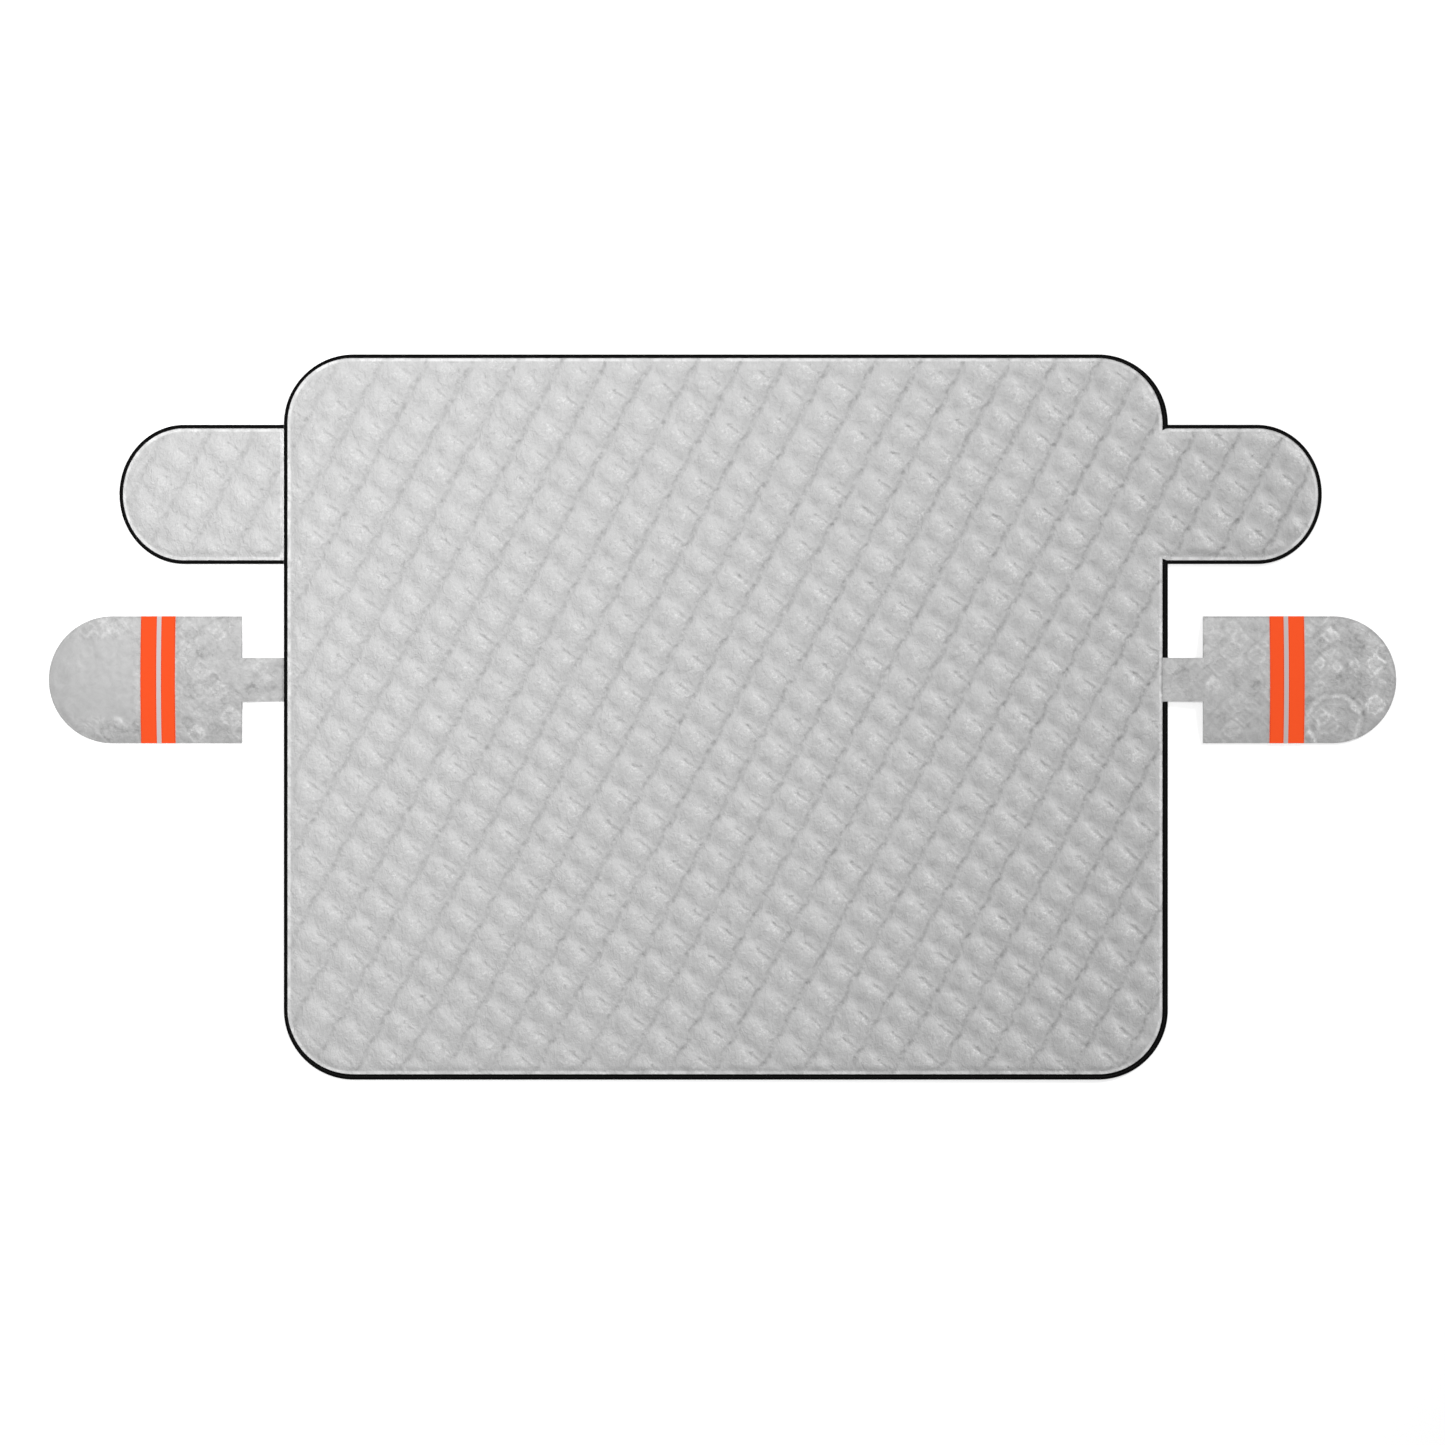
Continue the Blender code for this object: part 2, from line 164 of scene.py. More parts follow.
RIGHT_PUCKERS = (
    (0.071, 0.027, 0.018, 2.1), (0.071, -0.041, 0.018, 2.1), (-0.022, 0.028, 0.011, 1.5),
    (0.006, 0.022, 0.009, 1.9), (0.036, 0.026, 0.011, 1.4), (-0.005, 0.074, 0.014, 1.6),
    (-0.040, -0.098, 0.013, 1.4), (-0.155, 0.070, 0.016, 1.0), (-0.156, 0.024, 0.016, 1.0),
    (-0.156, -0.037, 0.016, 1.1), (-0.196, 0.076, 0.014, 0.9), (-0.200, -0.007, 0.013, 1.5),
    (-0.132, -0.008, 0.012, -1.1), (-0.060, 0.050, 0.016, -0.9), (0.010, 0.002, 0.013, -1.3),
    (0.040, 0.060, 0.018, -1.2), (-0.138, -0.066, 0.016, -0.9), (-0.252, 0.014, 0.013, -1.0),
    (0.075, -0.006, 0.014, 0.8), (-0.022, -0.007, 0.009, 0.9),
)
# Rings on the right pouch, from the centre of its round end: x, y, radius, paleness; above 0 raised with a
# painted highlight, below 0 sunk with painted shade.
RIGHT_ARCS = ((0.000, -0.072, 0.043, 1.2), (-0.010, -0.073, 0.016, 1.2), (0.000, -0.072, 0.052, -0.8))

# Colours, linear
SILVER = (0.58, 0.58, 0.58)
# The left film is a darker copy of the right: painted shade that offsets the stronger light on the left.
LEFT_FILM = (0.455, 0.455, 0.455)
RIGHT_FILM = (0.54, 0.54, 0.54)
BLACK = (0.0018, 0.0018, 0.0018)
BLACK_THREAD = (0.008, 0.008, 0.008)
ORANGE = (0.30, 0.030, 0.0068)
ORANGE_THREAD = (0.60, 0.035, 0.008)
GREY_THREAD = (0.40, 0.40, 0.40)
PALE_SILVER = (0.47, 0.42, 0.425)

# Materials and light. Energies are in watts, the key's in watts per square metre.
# The orange tape and the pale strip glow though neither is a lamp: painted light.
ORANGE_GLOW = 2.35
STRIP_GLOW = 0.35
CRINKLE_STRETCH = (1.0, 0.6, 1.0)
AMBIENT = 0.27
KEY_TURN, KEY_RISE, KEY_SPREAD = math.radians(46), math.radians(23), math.radians(10)
KEY_ENERGY = 1.8
FILL_PLACE, FILL_TARGET = (-1.2, 1.1, 5.3), (-2.2, 2.24, 0)
FILL_CONE = math.radians(111)
FILL_ENERGY = 705.0

# Frame
BINDING_LOW, BINDING_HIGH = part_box("panel_binding")
FLAP_LOW, FLAP_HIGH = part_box("left_flap_binding")
PANEL_LEFT = BINDING_LOW.x
PANEL_RIGHT = PANEL_LEFT + PANEL_WIDTH
PANEL_X = PANEL_LEFT + PANEL_WIDTH / 2
PANEL_TOP = BINDING_HIGH.y
RIGHT_FLAP_TIP = BINDING_HIGH.x
LEFT_FLAP_TIP = FLAP_LOW.x
FLAP_Y = (FLAP_LOW.y + FLAP_HIGH.y) / 2
FLAP_HALF = (FLAP_HIGH.y - FLAP_LOW.y) / 2
BINDING_BOTTOM = BINDING_LOW.z
BINDING_TOP = BINDING_HIGH.z
HEM_INSET = (BINDING_TOP - BINDING_BOTTOM) / 2
HEM_BOTTOM = BINDING_BOTTOM + TAPE_THICKNESS + SEWN_GAP
HEM_TOP = HEM_BOTTOM + HEM_THICKNESS
BODY_INSET = BINDING_WIDTH + SEWN_GAP
BACK_INSET = BODY_INSET + EDGE_SLOPE_BELOW
POUCH_SEWN_HEIGHT = FILM_THICKNESS + SEWN_GAP
SEAM_CROSSING = (PANEL_X + SEAM_CROSSING_RIGHT_OF_CENTRE, -SEAM_CROSSING_BELOW_CENTRE)
ACROSS_LONG = (math.sin(LONG_SEAM_ANGLE), -math.cos(LONG_SEAM_ANGLE))
ACROSS_CROSS = (-math.sin(CROSS_SEAM_ANGLE), math.cos(CROSS_SEAM_ANGLE))


# Shader helpers

def node(tree, kind, inputs=None, **settings):
    """Add a shader node. Each input is a value, or a socket to link from."""
    made = tree.nodes.new(kind)
    for name, value in settings.items():
        setattr(made, name, value)
    for name, value in (inputs or {}).items():
        if isinstance(value, bpy.types.NodeSocket):
            tree.links.new(value, made.inputs[name])
        else:
            made.inputs[name].default_value = value
    return made


def calc(operation, *values):
    """Math node on values and sockets, in the node tree of the sockets."""
    tree = next(value.id_data for value in values if isinstance(value, bpy.types.NodeSocket))
    return node(tree, "ShaderNodeMath", dict(enumerate(values)), operation=operation).outputs[0]


def total(*values):
    return functools.reduce(functools.partial(calc, "ADD"), values)


def product(*values):
    return functools.reduce(functools.partial(calc, "MULTIPLY"), values)


def remap(value, low, high, to_low=0.0, to_high=1.0):
    """Map a range smoothly to another and hold its ends."""
    inputs = {"Value": value, "From Min": low, "From Max": high, "To Min": to_low, "To Max": to_high}
    made = node(value.id_data, "ShaderNodeMapRange", inputs, interpolation_type="SMOOTHSTEP", clamp=True)
    return made.outputs["Result"]


def cloud(place, size, detail=2.0, roughness=0.5, distortion=0.0):
    """Noise whose largest spots are about size metres across."""
    inputs = {"Vector": place, "Scale": 1 / size, "Detail": detail, "Roughness": roughness}
    return node(place.id_data, "ShaderNodeTexNoise", {**inputs, "Distortion": distortion}).outputs["Fac"]


def place_on(shader):
    return node(shader.id_data, "ShaderNodeTexCoord").outputs["Object"]


def stored(shader, name):
    """Number that each piece stores at its points."""
    return node(shader.id_data, "ShaderNodeAttribute", attribute_name=name).outputs["Fac"]


def across(place, direction, spacing, start=(0.0, 0.0)):
    """Distance from a start point across a family of lines, in spacings."""
    scaled = (direction[0] / spacing, direction[1] / spacing, 0.0)
    offset = -(start[0] * scaled[0] + start[1] * scaled[1])
    dot = node(place.id_data, "ShaderNodeVectorMath", {0: place, 1: scaled}, operation="DOT_PRODUCT")
    return calc("ADD", dot.outputs["Value"], offset)


def off_line(value):
    """Distance to the nearest whole number."""
    return calc("PINGPONG", value, 0.5)


def new_material(name, colour, roughness, metallic, specular, glow=0.0):
    """Principled material with a plain start, and its shader node."""
    material = bpy.data.materials.new(name)
    material.use_nodes = True
    shader = material.node_tree.nodes["Principled BSDF"]
    values = {"Roughness": roughness, "Metallic": metallic, "Specular IOR Level": specular}
    values |= {"Base Color": (*colour, 1.0), "Emission Color": (*colour, 1.0), "Emission Strength": glow}
    for socket, value in values.items():
        shader.inputs[socket].default_value = value
    return material, shader


def shade_colour(shader, colour, shade):
    """Colour the surface with a colour times a varying shade."""
    tree = shader.id_data
    scaled = node(tree, "ShaderNodeVectorMath", {0: colour, "Scale": shade}, operation="SCALE")
    tree.links.new(scaled.outputs["Vector"], shader.inputs["Base Color"])


def bump(shader, height):
    """Bump from a height in metres."""
    made = node(shader.id_data, "ShaderNodeBump", {"Height": height, "Distance": 1.0, "Strength": 1.0})
    shader.id_data.links.new(made.outputs["Normal"], shader.inputs["Normal"])


# Materials

def weld_share(welds):
    """Strength of the nearest welded spot, which changes in turn along the seam."""
    turn = calc("FLOORED_MODULO", calc("ROUND", welds), float(WELDS_PER_CELL))
    picks = (product(calc("COMPARE", turn, float(i), 0.1), share) for i, share in enumerate(WELD_SHARES))
    return total(*picks)


def crease_lines(place, size):
    """Thin wandering lines from 0 to 1."""
    value = cloud(place, size, 2.0, 0.5, 0.8)
    return remap(calc("ABSOLUTE", total(value, -0.5)), 0.0, 0.03, 1.0, 0.0)


def seam_shade(place, u, v):
    """Darkness of the long seams: a swaying line and darker welded spots, own colour plus painted groove
    shade, and a painted-shade shoulder to its left.
    """
    wander = remap(cloud(place, 0.011, 3.0, 0.6), 0.2, 0.8, -SEAM_WANDER, SEAM_WANDER)
    turn = product(total(v, -SWAY_PLACE), 2 * math.pi)
    sway = product(calc("COSINE", turn), -SEAM_SWAY)
    moved = total(u, sway, wander, 0.012)
    beside = product(off_line(moved), LONG_SEAM_SPACING)
    welds = total(product(v, WELDS_PER_CELL), WELD_SHIFT)
    lengthways = product(off_line(welds), CROSS_SEAM_SPACING / WELDS_PER_CELL)
    # Welded spots and seam line: the seam's own darker colour, with painted shade for its groove.
    spot = product(
        remap(beside, 0.0, 0.0048, 0.07, 0.0), remap(lengthways, 0.0020, 0.0085, 1.0, 0.0), weld_share(welds)
    )
    line = remap(beside, 0.0005, 0.0073, 0.125, 0.0)
    strength = remap(cloud(place, 0.007, 3.0, 0.6), 0.3, 0.7, 0.2, 1.7)
    in_u = calc("FRACT", u)
    # Painted shade on the shoulder left of each long seam.
    painted_shoulder_shade = product(remap(in_u, 0.70, 0.81, 0.0, 0.038), remap(in_u, 0.84, 0.94, 1.0, 0.0))
    return total(product(total(spot, line), strength), painted_shoulder_shade)


def fold_shade(place, u, v):
    """Darkness of the weld and broken crease on each cross seam, less the pale lines beside it: the weld dot
    is its own colour with painted pit shade, the crease painted shade, the pale lines painted highlights on
    its lips.
    """
    wander = remap(cloud(place, 0.02), 0.2, 0.8, -0.07, 0.07)
    in_u = calc("FRACT", u)
    along = product(total(in_u, wander, wander, -DOT_PLACE[0]), LONG_SEAM_SPACING)
    over = product(off_line(total(v, wander, -DOT_PLACE[1])), CROSS_SEAM_SPACING)
    reach = calc("SQRT", total(product(along, along), product(over, over)))
    # Weld dot: its own darker colour plus painted shade of a pit.
    dot = product(remap(reach, 0.0008, 0.0036, 0.17, 0.0), remap(cloud(place, 0.035), 0.38, 0.60, 0.0, 1.3))
    slant = product(total(in_u, -0.62), -FOLD_SLANT)
    beside = product(off_line(total(v, slant, wander, 0.01)), CROSS_SEAM_SPACING)
    broken = remap(cloud(place, 0.009, 2.0), 0.42, 0.62, 0.0, 1.4)
    # Painted shade in the crease.
    dark = product(remap(beside, 0.0, 0.0026, 0.09, 0.0), broken)
    # Painted highlights on the crease's lips.
    pale = product(
        remap(calc("ABSOLUTE", total(beside, -0.0038)), 0.0, 0.0022, 0.07, 0.0),
        remap(cloud(place, 0.006, 3.0, 0.6), 0.45, 0.62, 0.0, 1.4),
    )
    crease = total(dark, product(pale, -1.0))
    return total(dot, product(crease, remap(in_u, 0.40, 0.56), remap(in_u, 0.74, 0.96, 1.0, 0.0)))


def fleck_shade(place, u, v):
    """Pale flecks of painted highlight on the shoulder of each puff below its fold, with a few dark flecks
    of painted shade.
    """
    in_u, in_v = calc("FRACT", u), calc("FRACT", v)
    pale = remap(cloud(place, 0.0048, 3.0, 0.6), 0.53, 0.64)
    dark = remap(cloud(place, 0.0065, 2.0, 0.6), 0.42, 0.32, 0.0, -0.6)
    return product(
        total(pale, dark),
        remap(in_v, 0.35, 0.75, 0.15, 1.0),
        remap(in_v, 0.93, 1.00, 1.0, 0.3),
        remap(in_u, 0.15, 0.45, 0.15, 1.0),
        remap(in_u, 0.85, 1.00, 1.0, 0.2),
    )


def quilt_material():
    """Silver-coated laminate: dark pressed seams with painted shade, painted highlights on the puffs, fine
    creases, and a paler edge beside the binding.
    """
    material, shader = new_material("quilted silver laminate", SILVER, 0.6, 0.15, 0.3)
    place = place_on(shader)
    inputs = {0: place, 1: CRINKLE_STRETCH}
    stretched = node(shader.id_data, "ShaderNodeVectorMath", inputs, operation="MULTIPLY").outputs["Vector"]
    # Strength that grows to the right: it scales the seams' bump, their painted shade and the painted fleck
    # highlights, standing in for flatter light at the left.
    relief_and_painted_shade_strength = total(across(place, (PULL, 0.0), PANEL_WIDTH), 1.0)
    u = across(place, ACROSS_LONG, LONG_SEAM_SPACING, SEAM_CROSSING)
    v = across(place, ACROSS_CROSS, CROSS_SEAM_SPACING, SEAM_CROSSING)
    seam = product(total(seam_shade(place, u, v), fold_shade(place, u, v)), relief_and_painted_shade_strength)
    broad = cloud(place, 0.05, 2.0)
    crinkle = cloud(stretched, 0.008, 3.0, 0.55, 0.6)
    fine = cloud(place, 0.0028, 2.0)
    creases = product(crease_lines(stretched, 0.010), remap(cloud(place, 0.02), 0.45, 0.65))
    depth = stored(shader, "depth")
    shade = total(
        remap(broad, 0.2, 0.8, 0.97, 1.03),
        remap(crinkle, 0.3, 0.7, -0.02, 0.02),
        remap(fine, 0.3, 0.7, -0.028, 0.028),
        # Painted highlight flecks, scaled like the seams.
        product(fleck_shade(place, u, v), relief_and_painted_shade_strength, 0.18),
        product(
            remap(depth, BODY_INSET + 0.0028, BODY_INSET + 0.0064, 0.36, 0.0),
            remap(cloud(place, 0.025), 0.38, 0.58, 0.45, 1.1),
        ),
        # Painted highlight on the left flap's thin root, where the depth is 0.
        remap(depth, 0.0, HEM_INSET, 0.45, 0.0),
        # Painted highlight along the streaks' crests.
        product(stored(shader, "crest"), 0.06),
        product(creases, 0.07),
        product(seam, -1.0),
        -0.014,
    )
    shade_colour(shader, SILVER, shade)
    scaled = ((crinkle, 0.0018), (fine, 0.0004), (creases, 0.0003), (seam, -0.0010))
    bump(shader, total(*(product(*pair) for pair in scaled)))
    return material


def film_material(name, colour):
    """Thin silver-coated film: painted highlights on the rims of its puckers, painted light and shade on the
    puckers and between them, blotches and fine creases.
    """
    material, shader = new_material(name, colour, 0.55, 0.15, 0.3)
    place = place_on(shader)
    blotch = cloud(place, 0.016, 3.0, 0.6, 0.8)
    fine = cloud(place, 0.0055, 3.0, 0.6, 0.5)
    fleck = cloud(place, 0.007, 3.0, 0.65)
    creases = product(crease_lines(place, 0.012), remap(cloud(place, 0.03), 0.4, 0.6))
    painted_shading, worn = stored(shader, "painted_shading"), stored(shader, "worn")
    shade = total(
        remap(blotch, 0.35, 0.65, 0.96, 1.04),
        product(remap(fine, 0.35, 0.65, -0.045, 0.045), worn),
        # Painted light and shade of the puckers, broken by flecks.
        product(painted_shading, remap(fleck, 0.35, 0.65, 0.3, 1.7), PAINTED_SHADING_STRENGTH),
        product(creases, worn, 0.07),
    )
    shade_colour(shader, colour, shade)
    scaled = ((blotch, 0.0012), (fine, 0.0004), (creases, 0.0003))
    bump(shader, product(total(*(product(*pair) for pair in scaled)), worn))
    return material


def woven_material(name, colour, pitch, glow=0.0):
    """Woven tape: plain weave along X and Y, with slight differences between its threads."""
    material, shader = new_material(name, colour, 0.8, 0.0, 0.05, glow)
    place = place_on(shader)
    shade_colour(shader, colour, remap(cloud(place, 0.004, 3.0), 0.3, 0.7, 0.95, 1.05))
    waves = [calc("SINE", product(across(place, way, pitch), math.pi)) for way in ((1.0, 0.0), (0.0, 1.0))]
    bump(shader, product(*waves, pitch * 0.12))
    return material


def grained_material(name, colour, specular, grain, spread, height, glow=0.0):
    """Fine grain, as on twisted thread or a beaded strip."""
    material, shader = new_material(name, colour, 0.6, 0.0, specular, glow)
    spots = cloud(place_on(shader), grain, 1.0)
    shade_colour(shader, colour, remap(spots, 0.3, 0.7, 1 - spread, 1 + spread))
    bump(shader, product(spots, height))
    return material


def thread_material(name, colour):
    return grained_material(name, colour, 0.3, 0.0006, 0.15, 0.0001)


# Outlines

def arc(centre, radii, start, end):
    """Points of an elliptical arc between two angles in degrees, about one edge pitch apart."""
    steps = max(2, round(math.radians(abs(end - start)) * PANEL_CORNER_RADIUS / EDGE_PITCH))
    angles = [math.radians(start + (end - start) * step / steps) for step in range(steps + 1)]
    (x, y), (reach_x, reach_y) = centre, radii
    return [(x + reach_x * math.cos(angle), y + reach_y * math.sin(angle)) for angle in angles]


def panel_outline(inset):
    """Panel and right flap in one, anticlockwise, moved in by inset."""
    radius = PANEL_CORNER_RADIUS - inset
    left, right = PANEL_LEFT + PANEL_CORNER_RADIUS, PANEL_RIGHT - PANEL_CORNER_RADIUS
    top = PANEL_TOP - PANEL_CORNER_RADIUS
    flap_half = FLAP_HALF - inset
    points = arc((left, -top), (radius, radius), 180, 270)
    points += arc((right, -top), (radius, radius), 270, 360)
    points.append((PANEL_RIGHT - inset, FLAP_Y - flap_half))
    points += arc((RIGHT_FLAP_TIP - FLAP_END_DEPTH, FLAP_Y), (FLAP_END_DEPTH - inset, flap_half), -90, 90)
    points.append((PANEL_RIGHT - inset, FLAP_Y + flap_half))
    points += arc((right, top), (radius, radius), 0, 90)
    points += arc((left, top), (radius, radius), 90, 180)
    return points


def left_flap_outline(inset, root):
    """Left flap, anticlockwise from the top of its root, moved in by inset on its free sides."""
    flap_half = FLAP_HALF - inset
    points = [(root, FLAP_Y + flap_half)]
    points += arc((LEFT_FLAP_TIP + FLAP_END_DEPTH, FLAP_Y), (FLAP_END_DEPTH - inset, flap_half), 90, 270)
    points.append((root, FLAP_Y - flap_half))
    return points


def filled(outline, inset, closed=True, pitch=EDGE_PITCH):
    """Outline moved in by inset, with extra points on long sides: as many of them at any inset."""
    base, moved = outline(0.0), outline(inset)
    pairs = range(len(base) if closed else len(base) - 1)
    points = []
    for i in pairs:
        j = (i + 1) % len(base)
        steps = max(1, round(math.dist(base[i], base[j]) / pitch))
        (x, y), (to_x, to_y) = moved[i], moved[j]
        points += [(x + (to_x - x) * step / steps, y + (to_y - y) * step / steps) for step in range(steps)]
    if not closed:
        points.append(moved[-1])
    return points


def area_of(outline):
    return 0.5 * abs(sum(a[0] * b[1] - b[0] * a[1] for a, b in zip(outline, outline[1:] + outline[:1])))


# Depth of points inside the outlines

def flap_depth(x, y, tip, side):
    """How far inside a flap's free sides points lie. Side is the way that the flap points."""
    past = np.maximum(0.0, (x - (tip - side * FLAP_END_DEPTH)) * side)
    return FLAP_HALF * (1 - np.hypot(past / FLAP_END_DEPTH, (y - FLAP_Y) / FLAP_HALF))


def panel_depth(x, y):
    """How far inside the edge of the panel and right flap points lie."""
    over_x = np.abs(x - PANEL_X) - (PANEL_WIDTH / 2 - PANEL_CORNER_RADIUS)
    over_y = np.abs(y) - (PANEL_TOP - PANEL_CORNER_RADIUS)
    outside = np.hypot(np.maximum(over_x, 0), np.maximum(over_y, 0))
    panel = PANEL_CORNER_RADIUS - outside - np.minimum(np.maximum(over_x, over_y), 0)
    flap = np.where(x > PANEL_X, flap_depth(x, y, RIGHT_FLAP_TIP, 1), -1.0)
    return np.maximum(panel, flap)


def smooth(value, low, high):
    """Smooth step from 0 at low to 1 at high."""
    share = np.clip((value - low) / (high - low), 0.0, 1.0)
    return share * share * (3 - 2 * share)


def noise_at(x, y, size, seed):
    """Smooth noise from about -1 to 1 whose spots are about size across."""
    return np.array([noise.noise((a / size, b / size, seed)) for a, b in zip(np.ravel(x), np.ravel(y))])


def widening(x, y):
    """How much wider the panel's binding is: least at the upper left, most at the lower right, where the
    extra black tape is painted shade.
    """
    over_x = np.maximum(0.0, np.abs(x - PANEL_X) - (PANEL_WIDTH / 2 - PANEL_CORNER_RADIUS))
    over_y = np.maximum(0.0, np.abs(y) - (PANEL_TOP - PANEL_CORNER_RADIUS))
    facing = (over_x * np.sign(x - PANEL_X) - over_y * np.sign(y)) / (np.hypot(over_x, over_y) + 1e-9)
    on_panel = smooth(x, PANEL_RIGHT + 0.004, PANEL_RIGHT) * (x > PANEL_LEFT - SEWN_GAP / 2)
    return BINDING_EXTRA * np.clip(0.6 + 0.6 * facing, -0.25, 1.1) * on_panel


# Quilting

def lattice(x, y):
    """Seam coordinates: cells across the long seams, and cells across the cross seams."""
    dx, dy = x - SEAM_CROSSING[0], y - SEAM_CROSSING[1]
    u = (dx * ACROSS_LONG[0] + dy * ACROSS_LONG[1]) / LONG_SEAM_SPACING
    v = (dx * ACROSS_CROSS[0] + dy * ACROSS_CROSS[1]) / CROSS_SEAM_SPACING
    return u, v


def hump(value, width):
    return np.exp(-((value / width) ** 2))


def pull_at(x):
    """How far the quilting stands out: least at the left, where it is drawn flat."""
    return 1 + PULL * x / PANEL_WIDTH


def relief(x, y):
    """Height of the quilting above its seams: a wave in each cell, and a fold on part of each cross seam."""
    u, v = lattice(x, y)
    cell, fold_line = np.floor(u), np.round(v)
    in_u = u - cell
    bulge = hump(in_u - BULGE_PLACE, BULGE_WIDTH)
    turn = v - CREST_LEAN * (in_u - 0.5) + 0.05 * noise_at(x, y, 0.07, 2.2)
    wave = WAVE * smooth(in_u, 0.0, 0.25) + BULGE_WAVE * bulge
    wave *= np.cos(2 * math.pi * (turn - WAVE_CREST))
    wave += RIPPLE * bulge * np.cos(4 * math.pi * (turn - RIPPLE_CREST))
    start = FOLD_START + FOLD_START_SPREAD * noise_at(cell, fold_line, 1.7, 3.1)
    folded = smooth(in_u, start - FOLD_RISE, start + FOLD_RISE) * (1 - FOLD_FADE * smooth(in_u, 0.65, 1.0))
    slant = FOLD_SLANT + 0.25 * noise_at(cell, fold_line, 1.3, 6.6)
    shift = 0.04 * noise_at(cell, fold_line, 1.5, 5.5)
    from_fold = v - fold_line - slant * (in_u - 0.7) - shift
    depth = 1 + 0.6 * noise_at(cell, fold_line, 1.3, 9.7)
    fold = sum(height * hump(from_fold - place, width) for place, width, height in FOLD_RUNS)
    swell = 1 + 0.3 * noise_at(x, y, 0.06, 1.7)
    crinkle = 0.0006 * noise_at(x, y, 0.018, 7.7) + 0.0004 * noise_at(x, y, 0.010, 8.8)
    height = PUFF_HEIGHT + wave * swell + folded * depth * fold + STREAK_HEIGHT * streaks(u, v) + crinkle
    swayed = u - SEAM_SWAY * np.cos(2 * math.pi * (v - SWAY_PLACE))
    beside = np.abs(swayed - np.round(swayed))
    return (height * smooth(beside, -0.02, VALLEY_WIDTH) - weld_pits(swayed, v)) * pull_at(x)


def streaks(u, v):
    """Creases that run down each puff, nearly along Y, from 0 to about 1."""
    cell_u, cell_v = np.floor(u), np.floor(v)
    in_u, in_v = u - cell_u, v - cell_v
    lean = math.sin(LONG_SEAM_ANGLE - CROSS_SEAM_ANGLE)
    along_u = LONG_SEAM_SPACING * math.cos(CROSS_SEAM_ANGLE) / lean
    along_v = CROSS_SEAM_SPACING * math.cos(LONG_SEAM_ANGLE) / lean
    local_x = along_u * in_u + along_v * in_v
    found = np.zeros_like(u)
    for seed, (place, width, middle, reach) in enumerate(STREAKS):
        moved = 0.003 * noise_at(cell_u, cell_v, 1.9, 30.0 + seed)
        share = 1 + 0.8 * noise_at(cell_u, cell_v, 1.4, 40.0 + seed)
        found += share * hump(local_x - place - moved, width) * hump(in_v - middle, reach)
    return found


def weld_pits(u, v):
    """Depth of the welded spots along the long seams."""
    beside = np.abs(u - np.round(u)) * LONG_SEAM_SPACING
    weld = v * WELDS_PER_CELL + WELD_SHIFT
    nearest = np.round(weld)
    lengthways = np.abs(weld - nearest) * CROSS_SEAM_SPACING / WELDS_PER_CELL
    share = np.array(WELD_SHARES)[nearest.astype(int) % WELDS_PER_CELL]
    return WELD_DEPTH * share * smooth(beside, WELD_WIDTH, 0.0) * smooth(lengthways, 0.0068, 0.003)


def lattice_points(low, high):
    """Points of the uneven quilting grid inside a box: closest together along the seams."""
    corners = np.array([(x, y) for x in (low[0], high[0]) for y in (low[1], high[1])])
    u, v = lattice(*corners.T)
    cells_u = np.arange(math.floor(u.min()), math.ceil(u.max()))
    cells_v = np.arange(math.floor(v.min()), math.ceil(v.max()))
    rows_u = (cells_u[:, None] + np.array(LONG_STATIONS)).ravel()
    rows_v = (cells_v[:, None] + np.array(CROSS_STATIONS)).ravel()
    grid_u, grid_v = np.meshgrid(rows_u * LONG_SEAM_SPACING, rows_v * CROSS_SEAM_SPACING)
    turn = np.linalg.inv(np.array([ACROSS_LONG, ACROSS_CROSS]))
    x, y = turn @ np.array([grid_u.ravel(), grid_v.ravel()]) + np.array(SEAM_CROSSING)[:, None]
    inside = (x > low[0]) & (x < high[0]) & (y > low[1]) & (y < high[1])
    return x[inside], y[inside]


def triangulate(rings, inner):
    """Triangles over rings of points, the first of which bounds them, and over free points inside."""
    points = [Vector(point) for ring in (*rings, inner) for point in ring]
    edges, start = [], 0
    for ring in rings:
        count = len(ring)
        edges += [(start + i, start + (i + 1) % count) for i in range(count)]
        start += count
    places, _, faces, *_ = delaunay_2d_cdt(points, edges, [], 1, 1e-7)
    assert len(places) == len(points)
    return faces


# Pieces

def add_object(name, data):
    """Put a mesh, lamp or camera in the scene."""
    made = bpy.data.objects.new(name, data)
    bpy.context.scene.collection.objects.link(made)
    return made


def new_piece(name, points, faces, material, replaced=None):
    """Add a mesh piece with its material, which rides on the cover and may stand for a CAD node."""
    bm = bmesh.new()
    verts = [bm.verts.new(point) for point in points]
    for face in faces:
        bm.faces.new([verts[i] for i in face])
    bmesh.ops.recalc_face_normals(bm, faces=bm.faces)
    mesh = bpy.data.meshes.new(name)
    bm.to_mesh(mesh)
    bm.free()
    mesh.shade_smooth()
    mesh.set_sharp_from_angle(angle=SHARP_ANGLE)
    mesh.materials.append(material)
    piece = add_object(name, mesh)
    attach(piece, "root")
    if replaced:
        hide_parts(replaced)
    return piece


def add_attribute(piece, name, values):
    """Store a number at each point, which the material reads."""
    attribute = piece.data.attributes.new(name, "FLOAT", "POINT")
    attribute.data.foreach_set("value", values)


def columns(x, y, z):
    """Points from three rows of numbers."""
    return np.column_stack((x, y, z)).tolist()


def bridge(first, second, count):
    """Quads between two rings of as many points."""
    return [
        (first + i, first + (i + 1) % count, second + (i + 1) % count, second + i) for i in range(count)
    ]


